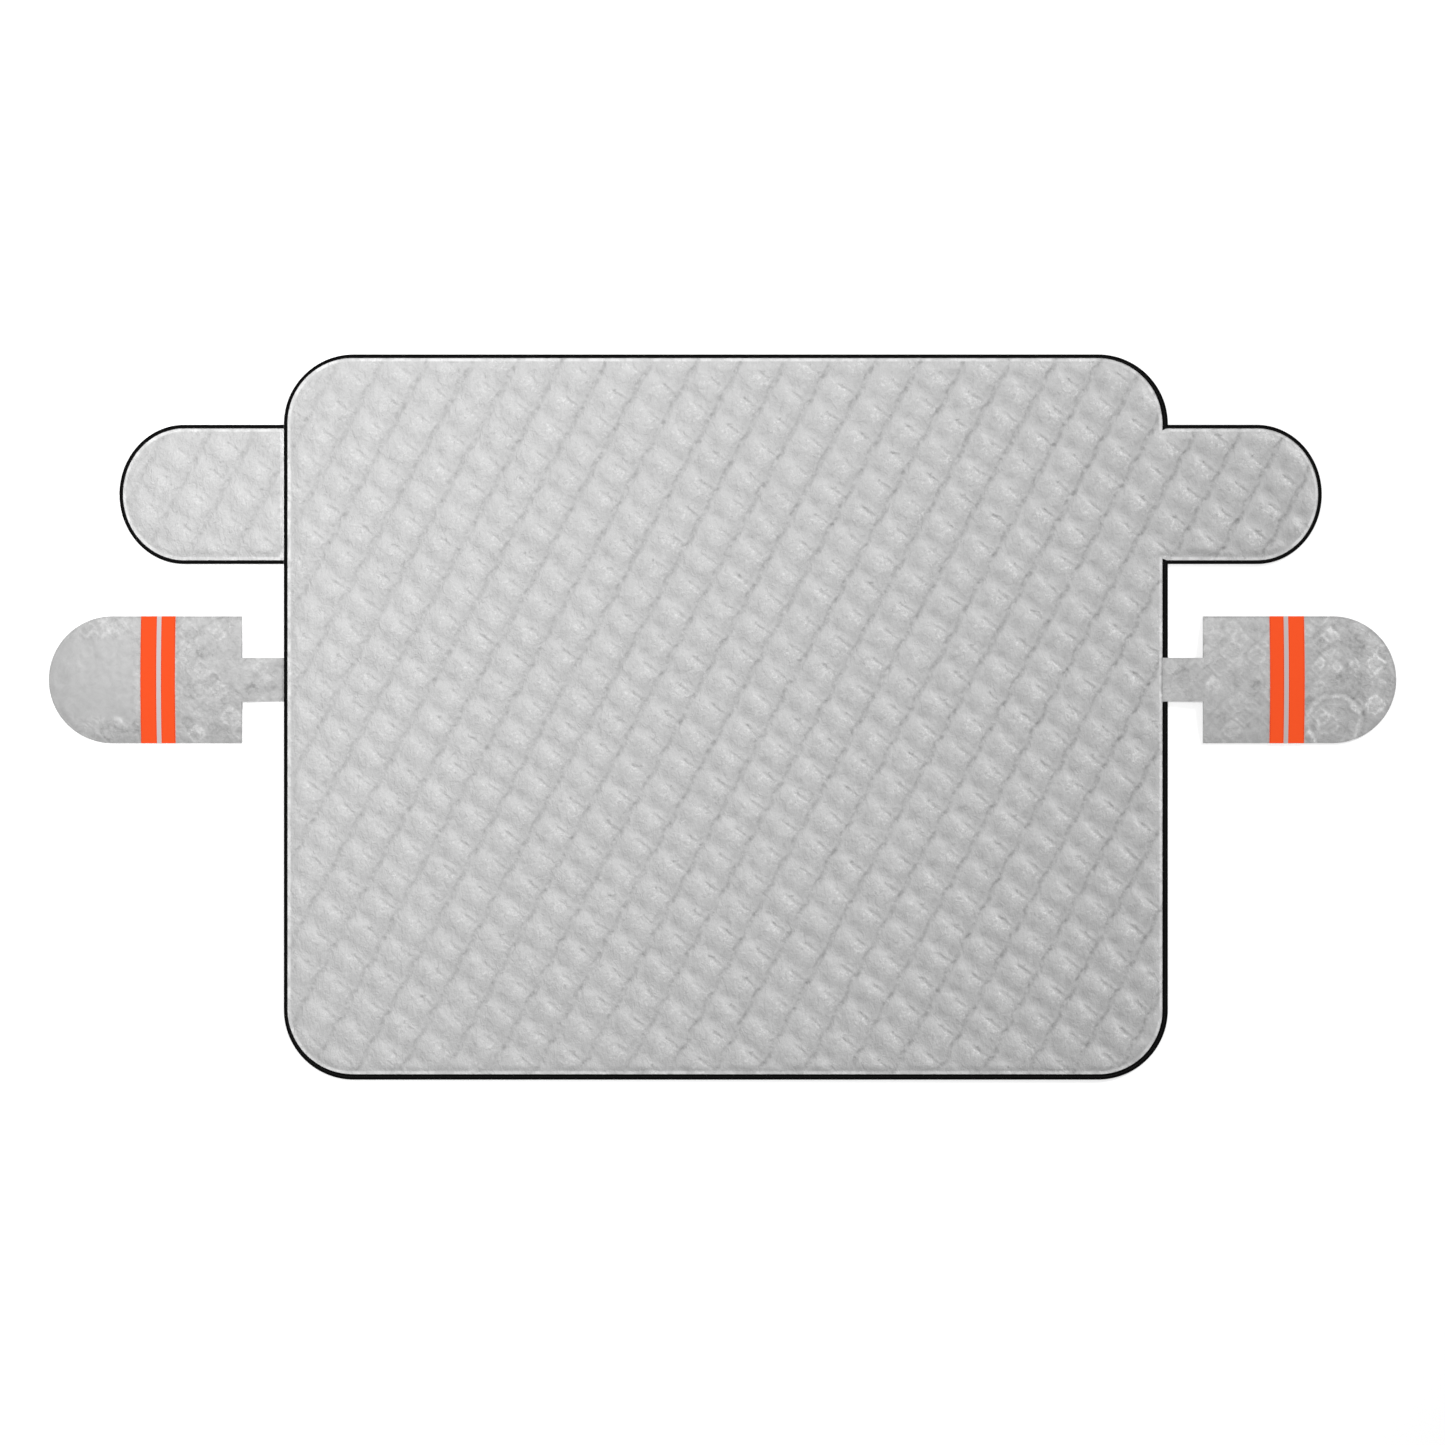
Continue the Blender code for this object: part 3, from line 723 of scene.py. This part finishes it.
def make_quilted(name, outline, depth_of, box, material, replaced, thin=((), ())):
    """Quilted sheet: puffed top, thin hem, sloped underside and flat back. Thin is its unpadded part."""
    hem_ring, body_ring = filled(outline, HEM_INSET), filled(outline, BODY_INSET)
    x, y = lattice_points(*box)
    depth = depth_of(x, y)
    keep = depth > BODY_INSET + FREE_EDGE
    x, y, depth = x[keep], y[keep], depth[keep]
    rise = smooth(depth, BODY_INSET + PRESSED_EDGE, BODY_INSET + PRESSED_EDGE + EDGE_SLOPE_ABOVE)
    height = HEM_TOP + rise * (SEAM_HEIGHT + relief(x, y))
    faces = triangulate([hem_ring, body_ring], zip(x.tolist(), y.tolist()))
    points = [(px, py, HEM_TOP) for px, py in hem_ring + body_ring]
    points += columns(x, y, height)
    count, upper = len(hem_ring), 0
    depths = [HEM_INSET] * count + [BODY_INSET] * count + (depth - widening(x, y)).tolist()
    # Streak crests, which the material brightens as a painted highlight.
    crest_highlights = [0.0] * (2 * count) + streaks(*lattice(x, y)).tolist()
    for inset, level in (HEM_INSET, HEM_BOTTOM), (BODY_INSET, HEM_BOTTOM), (BACK_INSET, 0.0):
        lower = len(points)
        ring = filled(outline, inset)
        points += [(px, py, level) for px, py in ring]
        depths += [BACK_INSET] * count
        faces += bridge(upper, lower, count)
        upper = lower
    faces.append(list(range(upper, upper + count)))
    faces += [[len(points) + i for i in face] for face in thin[1]]
    points += thin[0]
    depths += [0.0] * len(thin[0])
    piece = new_piece(name, points, faces, material, replaced)
    add_attribute(piece, "depth", depths)
    add_attribute(piece, "crest", crest_highlights + [0.0] * (len(points) - len(crest_highlights)))
    return piece


def make_left_flap(material):
    """Left flap with the thin root that runs in under the panel's binding."""
    root = PANEL_LEFT - LEFT_FLAP_ROOT_GAP

    def outline(inset):
        return left_flap_outline(inset, root - ROOT_LEAN * max(0.0, inset - HEM_INSET))

    def depth_of(x, y):
        return np.minimum(flap_depth(x, y, LEFT_FLAP_TIP, -1), (root - x) / ROOT_LEAN)

    box = ((LEFT_FLAP_TIP, FLAP_Y - FLAP_HALF), (root, FLAP_Y + FLAP_HALF))
    inner, outer = root - BACK_INSET * 1.3, PANEL_LEFT + BINDING_INNER
    half = FLAP_HALF - BODY_INSET
    corners = ((inner, -half), (outer, -half), (outer, half), (inner, half))
    tongue = [(x, FLAP_Y + y, z) for z in (ROOT_BOTTOM, ROOT_THICKNESS) for x, y in corners]
    faces = [(0, 1, 2, 3), (4, 5, 6, 7)] + bridge(0, 4, 4)
    return make_quilted("quilted_left_flap", outline, depth_of, box, material, "left_flap", (tongue, faces))


def binding_section():
    """Tape folded round a hem: distances in from the edge and heights, along its outside, then inside."""
    inner, stitch, top, bottom = BINDING_INNER, STITCH_INSET, BINDING_TOP, BINDING_BOTTOM
    middle, folds = (top + bottom) / 2, []
    for radius, start, end in ((HEM_INSET, 270, 90), (HEM_INSET - TAPE_THICKNESS, 90, 270)):
        for step in range(BINDING_FOLD_STEPS + 1):
            angle = math.radians(start + (end - start) * step / BINDING_FOLD_STEPS)
            folds.append((HEM_INSET + radius * math.cos(angle), middle + radius * math.sin(angle)))
    outside, inside = folds[: BINDING_FOLD_STEPS + 1], folds[BINDING_FOLD_STEPS + 1 :]
    dip, round_off = TAPE_THICKNESS * 0.3, TAPE_THICKNESS * 0.25
    groove = [(stitch - GROOVE_REACH, top), (stitch, top - dip), (stitch + GROOVE_REACH, top)]
    lip = [(inner - round_off, top), (inner, top - round_off), (inner, top - TAPE_THICKNESS)]
    lower_lip = [(inner, bottom + TAPE_THICKNESS), (inner, bottom + round_off)]
    return [(inner - round_off, bottom)] + outside + groove + lip + inside + lower_lip


def make_binding(name, outline, closed, material, replaced):
    """Carry the folded tape's section along an outline."""
    tracks = []
    edge = np.array(filled(outline, 0.0, closed, BINDING_PITCH))
    extra = widening(edge[:, 0], edge[:, 1])[:, None]
    for inset, height in binding_section():
        track = np.array(filled(outline, inset, closed, BINDING_PITCH))
        share = max(0.0, inset - HEM_INSET) / (BINDING_INNER - HEM_INSET)
        track += (track - edge) / max(inset, 1e-9) * extra * share
        tracks.append([(x, y, height) for x, y in track.tolist()])
    size, count = len(tracks), len(tracks[0])
    points = [track[i] for i in range(count) for track in tracks]
    faces = []
    for i in range(count if closed else count - 1):
        faces += bridge(i * size, (i + 1) % count * size, size)
    if not closed:
        faces += [list(range(size)), list(range((count - 1) * size, count * size))]
    return new_piece(name, points, faces, material, replaced)


def walk(points, closed):
    """Places and directions of the stitches along a line of points."""
    line = points + points[:1] if closed else points
    lengths = [math.dist(a, b) for a, b in zip(line, line[1:])]
    count = int(sum(lengths) / STITCH_PITCH)
    found, walked, segment = [], 0.0, 0
    for step in range(count):
        target = (step + 0.5) * sum(lengths) / count
        while segment < len(lengths) - 1 and walked + lengths[segment] < target:
            walked += lengths[segment]
            segment += 1
        a, b = Vector(line[segment]), Vector(line[segment + 1])
        found.append((a.lerp(b, (target - walked) / lengths[segment]), (b - a).normalized()))
    return found


def make_stitches(name, lines, material):
    """Rows of short stitches along lines of 3-D points, each line given with whether it is closed."""
    profile = ((-0.5, 0.35), (-0.36, 1.0), (0.36, 1.0), (0.5, 0.35))
    sides = 5
    points, faces = [], []
    for line, closed in lines:
        for centre, way in walk(line, closed):
            side = way.cross(Vector((0, 0, 1))).normalized()
            up = side.cross(way)
            start = len(points)
            for share, width in profile:
                for i in range(sides):
                    angle = 2 * math.pi * i / sides
                    spread = side * math.cos(angle) + up * math.sin(angle)
                    points.append(centre + way * (STITCH_LENGTH * share) + spread * (STITCH_RADIUS * width))
            for ring in range(len(profile) - 1):
                faces += bridge(start + ring * sides, start + (ring + 1) * sides, sides)
            last = start + (len(profile) - 1) * sides
            faces += [list(range(start, start + sides)), list(range(last, last + sides))]
    return new_piece(name, points, faces, material)


# Mirror pouches

class Pouch:
    """Places on one mirror pouch, from its nodes' boxes. Side is -1 on the left and 1 on the right."""

    def __init__(self, name, side):
        self.name, self.side = name, side
        low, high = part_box(self.named("cover_back"))
        front_low, front_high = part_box(self.named("cover_front"))
        self.y = (low.y + high.y) / 2
        self.radius = (high.y - low.y) / 2
        self.tip, self.mouth = (low.x, high.x) if side < 0 else (high.x, low.x)
        self.strap_end = front_high.x if side < 0 else front_low.x
        self.end_centre = self.tip - side * self.radius
        self.crown = front_high.z - FILM_THICKNESS - POUCH_SEWN_HEIGHT
        self.strap_end_height = 0.0 if side < 0 else BINDING_TOP + SEWN_GAP
        self.panel_edge = PANEL_LEFT if side < 0 else PANEL_RIGHT

    def named(self, part):
        return f"{self.name}_mirror_{part}"

    def spine_distance(self, x, y):
        """Distance from the line through the pouch's middle."""
        past = np.maximum(0.0, (x - self.end_centre) * self.side)
        return np.hypot(past, y - self.y)

    def surface(self, x, y):
        """Underside of the upper layer: crowned on the pouch, easing to its end along the strap."""
        crown = self.crown * (1 - (np.minimum(self.spine_distance(x, y), self.radius) / self.radius) ** 2)
        start = POUCH_SEWN_HEIGHT + crown
        share = (self.mouth - x) * self.side / abs(self.mouth - self.panel_edge)
        return start + (self.strap_end_height - start) * smooth(share, 0.0, 1.0)

    def round_end(self, inset=0.0):
        """Outline of the pouch from the mouth's lower corner round the tip to its upper corner."""
        start, end = (270, 90) if self.side < 0 else (-90, 90)
        radius = self.radius - inset
        mouth = self.mouth + self.side * inset
        curve = arc((self.end_centre, self.y), (radius, radius), start, end)
        return [(mouth, self.y - radius)] + curve + [(mouth, self.y + radius)]

    def with_strap(self):
        half = STRAP_WIDTH / 2
        strap = [(self.mouth, half), (self.strap_end, half), (self.strap_end, -half), (self.mouth, -half)]
        return self.round_end() + [(x, self.y + y) for x, y in strap]


def film_relief(x, y, seed, puckers, arcs):
    """Height and painted shading of small puckers in a diamond layout and of the named large ones."""

    def bent(value, start):
        return value + 0.003 * noise_at(x, y, 0.030, start) + 0.0016 * noise_at(x, y, 0.011, start + 10.0)

    def reach_from(place_x, place_y):
        dx, dy = np.abs(bend_x - place_x), np.abs(bend_y - place_y)
        return (dx**ROUNDNESS + dy**ROUNDNESS) ** (1 / ROUNDNESS)

    chance = np.random.default_rng(seed)
    bend_x, bend_y = bent(x, seed), bent(y, seed + 40.0)
    height, rims, fills = np.zeros((3, len(x)))
    for row in range(-DIAMOND_ROWS, DIAMOND_ROWS + 1):
        for column in range(-DIAMOND_COLUMNS, DIAMOND_COLUMNS + 1):
            across_x, across_y, growth, rise, share = chance.uniform(-1, 1, 5)
            if (row + column) % 2:
                continue
            place = (column / 2 + 0.08 * across_x, row / 2 + 0.08 * across_y)
            reach = reach_from(DIAMOND_PITCH * place[0], DIAMOND_PITCH * place[1])
            size = DIAMOND_RADIUS * (1 + 0.30 * growth)
            rim = max(0.0, 0.30 + 0.70 * share) * hump(reach - size, DIAMOND_RIM)
            height += DIAMOND_HEIGHT * (rise * smooth(size - reach, 0.0, size) + rim)
            rims = np.maximum(rims, rim)
            fills += rise * smooth(size - reach, -0.001, 0.003)
    for place_x, place_y, size, share in puckers:
        reach = reach_from(place_x, place_y)
        inside = smooth(size - reach, -0.002, 0.002)
        rims = rims * (1 - inside) + max(0.0, share) * 0.45 * hump(reach - size + 0.002, DIAMOND_RIM)
        fills = fills * (1 - inside) + share * inside
        height += DIAMOND_HEIGHT * share * smooth(size - reach, 0.0, size)
    for place_x, place_y, radius, share in arcs:
        ring = share * hump(np.hypot(bend_x - place_x, bend_y - place_y) - radius, 0.0035)
        rims += ring
        height += DIAMOND_HEIGHT * ring
    lines = [(bend_x + way * bend_y) / DIAMOND_PITCH - 0.5 for way in (-1, 1)]
    gaps = np.maximum(*(hump((line - np.round(line)) * DIAMOND_PITCH * 0.7, 0.0022) for line in lines))
    worn = smooth(noise_at(x, y, 0.03, seed + 80.0), -0.3, 0.3)
    patches = smooth(noise_at(x, y, 0.018, seed + 90.0), -0.12, 0.12) - 0.5
    # Painted shading: highlights on the rims, light on raised and shade on sunk puckers, shade in the gaps
    # between diamonds, and patches of light and shade.
    return height, 1.3 * rims + 0.6 * fills - 0.8 * gaps * worn + 0.4 * patches


def grid_inside(outline, pitch):
    """Grid points inside an outline, at least half a pitch from its edge."""
    line = np.array(outline)
    starts, ends = line, np.roll(line, -1, axis=0)
    low, high = line.min(axis=0), line.max(axis=0)
    counts = np.maximum(2, np.round((high - low) / pitch)).astype(int)
    xs = np.linspace(low[0], high[0], counts[0] + 1)[1:-1]
    ys = np.linspace(low[1], high[1], counts[1] + 1)[1:-1]
    kept = []
    for x in xs:
        for y in ys:
            point = np.array((x, y))
            crosses = (starts[:, 1] > y) != (ends[:, 1] > y)
            reach = ends[:, 1] - starts[:, 1]
            at = starts[crosses, 0] + (y - starts[crosses, 1]) / reach[crosses] * (ends - starts)[crosses, 0]
            if np.count_nonzero(at > x) % 2 and np.min(np.hypot(*(line - point).T)) > pitch * 0.55:
                kept.append((float(x), float(y)))
    return kept


def closed_sheet(outline, pitch, bottom_of, thickness_at=lambda x: FILM_THICKNESS):
    """Points and faces of a thin sheet, from the height of its underside and its thickness."""
    inner = grid_inside(outline, pitch)
    top_faces = triangulate([outline], inner)
    x, y = np.array(outline + inner).T
    bottom = bottom_of(x, y)
    points = columns(x, y, bottom + thickness_at(x)) + columns(x, y, bottom)
    faces = top_faces + [[len(x) + i for i in face] for face in top_faces]
    return points, faces + bridge(0, len(x), len(outline))


def make_pouch_front(pouch, material):
    """Upper layer and strap: crinkled film, pressed flat at its sewn edge and under the tapes."""
    outline = filled(lambda inset: pouch.with_strap(), 0.0, pitch=FILM_PITCH)
    tape_low, tape_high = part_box(pouch.named("orange_tape"))

    def worn(x, y):
        if pouch.side > 0:
            return 1.0 + 0.2 * smooth(x - tape_high.x, -0.005, 0.02)
        calm = smooth(tape_low.x - x, -0.005, 0.02) * smooth(np.abs(y - pouch.y), 0.080, 0.055)
        return 1.0 - 0.8 * calm

    def crumple(x, y):
        puckers, arcs = (LEFT_PUCKERS, ()) if pouch.side < 0 else (RIGHT_PUCKERS, RIGHT_ARCS)
        height, painted_shading = film_relief(x - pouch.end_centre, y - pouch.y, 7 + pouch.side, puckers, arcs)
        return height * worn(x, y), painted_shading * worn(x, y)

    def lift(x, y):
        edge = pouch.radius - pouch.spine_distance(x, y)
        on_pouch = (x - pouch.mouth) * pouch.side > 0
        strap_edge = STRAP_WIDTH / 2 - np.abs(y - pouch.y)
        free = np.where(on_pouch, smooth(edge, 0.002, 0.012), smooth(strap_edge, 0.0, 0.008))
        past_tape = np.maximum(tape_low.x - x, x - tape_high.x)
        panel_gap = (x - pouch.panel_edge) * pouch.side
        clear = smooth(past_tape, 0.0, 0.01) * smooth(panel_gap, 0.0, 0.012)
        waves = noise_at(x, y, 0.024, 3.5 + pouch.side) + 0.5 * noise_at(x, y, 0.011, 6.5 + pouch.side)
        return (0.0006 + crumple(x, y)[0] + FILM_WAVE * waves) * free * clear

    def bottom_of(x, y):
        return pouch.surface(x, y) + np.maximum(lift(x, y), 0.0)

    points, faces = closed_sheet(outline, FILM_PITCH, bottom_of)
    replaced = pouch.named("cover_front")
    front = new_piece(pouch.named("pouch_front"), points, faces, material, replaced)
    x, y, _ = np.array(points).T
    add_attribute(front, "painted_shading", crumple(x, y)[1])
    add_attribute(front, "worn", worn(x, y))
    return front


def make_pouch_back(pouch, material):
    """Lower layer: film with shallow waves, flat where it is sewn."""
    outline = filled(lambda inset: pouch.round_end(), 0.0, pitch=BACK_FILM_PITCH)

    def bottom_of(x, y):
        edge = pouch.radius - pouch.spine_distance(x, y)
        wave = np.maximum(noise_at(x, y, 0.04, 21.0), 0.0) * 0.0008
        return wave * smooth(edge, 0.006, 0.03)

    points, faces = closed_sheet(outline, BACK_FILM_PITCH, bottom_of)
    replaced = pouch.named("cover_back")
    return new_piece(pouch.named("pouch_back"), points, faces, material, replaced)


def make_pouch_tape(pouch, part, piece_name, height, material):
    """Flat tape across the crown, with slightly rounded edges."""
    low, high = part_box(pouch.named(part))
    corners = [(low.x, low.y), (high.x, low.y), (high.x, high.y), (low.x, high.y)]
    outline = filled(lambda inset: corners, 0.0, pitch=TAPE_PITCH)

    def bottom_of(x, y):
        return pouch.surface(x, y) + height

    def thickness_at(x):
        return TAPE_THICKNESS * (0.7 + 0.3 * smooth(np.minimum(x - low.x, high.x - x), 0.0, TAPE_PITCH))

    points, faces = closed_sheet(outline, TAPE_PITCH, bottom_of, thickness_at)
    return new_piece(pouch.named(piece_name), points, faces, material, pouch.named(part))


def make_tape_stitches(pouch, height, material):
    """Rows of stitches along both edges of the orange tape."""
    low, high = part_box(pouch.named("orange_tape"))
    strip_low, strip_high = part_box(pouch.named("silver_strip"))
    rows = np.linspace(low.y + TAPE_STITCH_END, high.y - TAPE_STITCH_END, 60)
    lines = []
    outer, inner = TAPE_STITCH_INSET, STRIP_STITCH_GAP
    for x in (low.x + outer, strip_low.x - inner, strip_high.x + inner, high.x - outer):
        line_x = np.full_like(rows, x)
        heights = pouch.surface(line_x, rows) + height + STITCH_RISE
        lines.append((columns(line_x, rows, heights), False))
    return make_stitches(pouch.named("tape_stitches"), lines, material)


def make_rim_stitches(pouch, material):
    """Stitches round the pouch's sewn edge, and across the end of a strap that lies on the panel."""
    rim = pouch.round_end(RIM_STITCH_INSET)
    x, y = np.array(rim).T
    lines = [(columns(x, y, pouch.surface(x, y) + FILM_THICKNESS + STITCH_RISE), False)]
    if pouch.side > 0:
        x, half = pouch.strap_end + RIM_STITCH_INSET, STRAP_WIDTH / 2 - RIM_STITCH_INSET
        z = pouch.strap_end_height + FILM_THICKNESS + STITCH_RISE
        lines.append(([(x, pouch.y - half, z), (x, pouch.y + half, z)], False))
    return make_stitches(pouch.named("rim_stitches"), lines, material)


def make_pouch(pouch, materials):
    front = make_pouch_front(pouch, materials[f"{pouch.name} film"])
    back = make_pouch_back(pouch, materials[f"{pouch.name} film"])
    height = FILM_THICKNESS + SEWN_GAP
    top = height + TAPE_THICKNESS
    tape = make_pouch_tape(pouch, "orange_tape", "orange_band", height, materials["orange"])
    strip = make_pouch_tape(pouch, "silver_strip", "pale_band", top + SEWN_GAP, materials["strip"])
    sewing = [
        make_tape_stitches(pouch, top, materials["orange thread"]),
        make_rim_stitches(pouch, materials["grey thread"]),
    ]
    area_of(pouch.with_strap())
    area_of(pouch.round_end())


# Studio

def seen_rays(tree):
    """1 for what the camera sees, directly, in a gloss or through glass."""
    rays = node(tree, "ShaderNodeLightPath").outputs
    return total(rays["Is Camera Ray"], rays["Is Glossy Ray"], rays["Is Transmission Ray"])


def make_floor():
    """Floor that reads as plain white to the camera and still keeps a soft shadow."""
    material, shader = new_material("white floor", (0.9, 0.9, 0.9), 1.0, 0.0, 0.0)
    shader.inputs["Emission Color"].default_value = (1, 1, 1, 1)
    tree = material.node_tree
    tree.links.new(product(seen_rays(tree), 0.5), shader.inputs["Emission Strength"])
    mesh = bpy.data.meshes.new("floor")
    half, height = 30.0, -0.0004
    corners = [(-half, -half, height), (half, -half, height), (half, half, height), (-half, half, height)]
    mesh.from_pydata(corners, [], [(0, 1, 2, 3)])
    mesh.materials.append(material)
    add_object("floor", mesh)


def make_world():
    """Even white surroundings, dimmer as light than where they are seen."""
    world = bpy.data.worlds.new("studio")
    world.use_nodes = True
    bpy.context.scene.world = world
    tree = world.node_tree
    background = tree.nodes["Background"]
    background.inputs["Color"].default_value = (1, 1, 1, 1)
    tree.links.new(remap(seen_rays(tree), 0.0, 1.0, AMBIENT, 1.0), background.inputs["Strength"])


def add_lamp(name, kind, place, target, **settings):
    """Lamp aimed at a point."""
    lamp = bpy.data.lights.new(name, kind)
    for setting, value in settings.items():
        setattr(lamp, setting, value)
    made = add_object(name, lamp)
    made.location = place
    made.rotation_euler = (Vector(target) - Vector(place)).to_track_quat("-Z", "Y").to_euler()
    made.visible_camera = False


def make_camera():
    """Straight down, the photograph's frame over the floor."""
    camera = bpy.data.cameras.new("camera")
    camera.lens, camera.sensor_width = 85.0, 36.0
    made = add_object("camera", camera)
    distance = METRES_PER_PIXEL * PHOTO_PIXELS * camera.lens / camera.sensor_width
    x = (PHOTO_CENTRE - COVER_CENTRE[0]) * METRES_PER_PIXEL
    y = (COVER_CENTRE[1] - PHOTO_CENTRE) * METRES_PER_PIXEL
    made.location = (x, y, distance + BINDING_TOP)
    camera.clip_end = 200.0
    bpy.context.scene.camera = made


def main():
    bpy.context.scene.view_settings.view_transform = "Standard"
    quilted = quilt_material()
    black = woven_material("black binding tape", BLACK, 0.0009)
    black_thread = thread_material("black thread", BLACK_THREAD)
    materials = {
        "left film": film_material("left crinkled film", LEFT_FILM),
        "right film": film_material("right crinkled film", RIGHT_FILM),
        "orange": woven_material("orange tape", ORANGE, 0.0012, ORANGE_GLOW),
        "strip": grained_material("pale silver strip", PALE_SILVER, 0.2, 0.0012, 0.03, 0.00012, STRIP_GLOW),
        "orange thread": thread_material("orange thread", ORANGE_THREAD),
        "grey thread": thread_material("grey thread", GREY_THREAD),
    }
    box = ((PANEL_LEFT, -PANEL_TOP), (RIGHT_FLAP_TIP, PANEL_TOP))
    panel = make_quilted("quilted_panel", panel_outline, panel_depth, box, quilted, "main_panel")
    flap = make_left_flap(quilted)
    tape_end = PANEL_LEFT - SEWN_GAP

    def flap_edge(inset):
        return left_flap_outline(inset, tape_end)

    binding = make_binding("panel_edging", panel_outline, True, black, "panel_binding")
    flap_binding = make_binding("left_flap_edging", flap_edge, False, black, "left_flap_binding")
    top = BINDING_TOP + STITCH_RISE
    for name, outline, closed in ("panel", panel_outline, True), ("left_flap", flap_edge, False):
        line = [(x, y, top) for x, y in filled(outline, STITCH_INSET, closed)]
        make_stitches(f"{name}_stitches", [(line, closed)], black_thread)
    area_of(panel_outline(0.0))
    area_of(left_flap_outline(0.0, PANEL_LEFT))
    for name, side in (("left", -1), ("right", 1)):
        make_pouch(Pouch(name, side), materials)
    make_floor()
    make_world()
    key_way = (math.cos(KEY_TURN), math.sin(KEY_TURN), math.tan(KEY_RISE))
    add_lamp("key", "SUN", key_way, (0, 0, 0), energy=KEY_ENERGY, angle=KEY_SPREAD)
    cone = {"spot_size": FILL_CONE, "spot_blend": 1.0, "shadow_soft_size": 0.5}
    add_lamp("fill", "SPOT", FILL_PLACE, FILL_TARGET, energy=FILL_ENERGY, **cone)
    make_camera()


main()
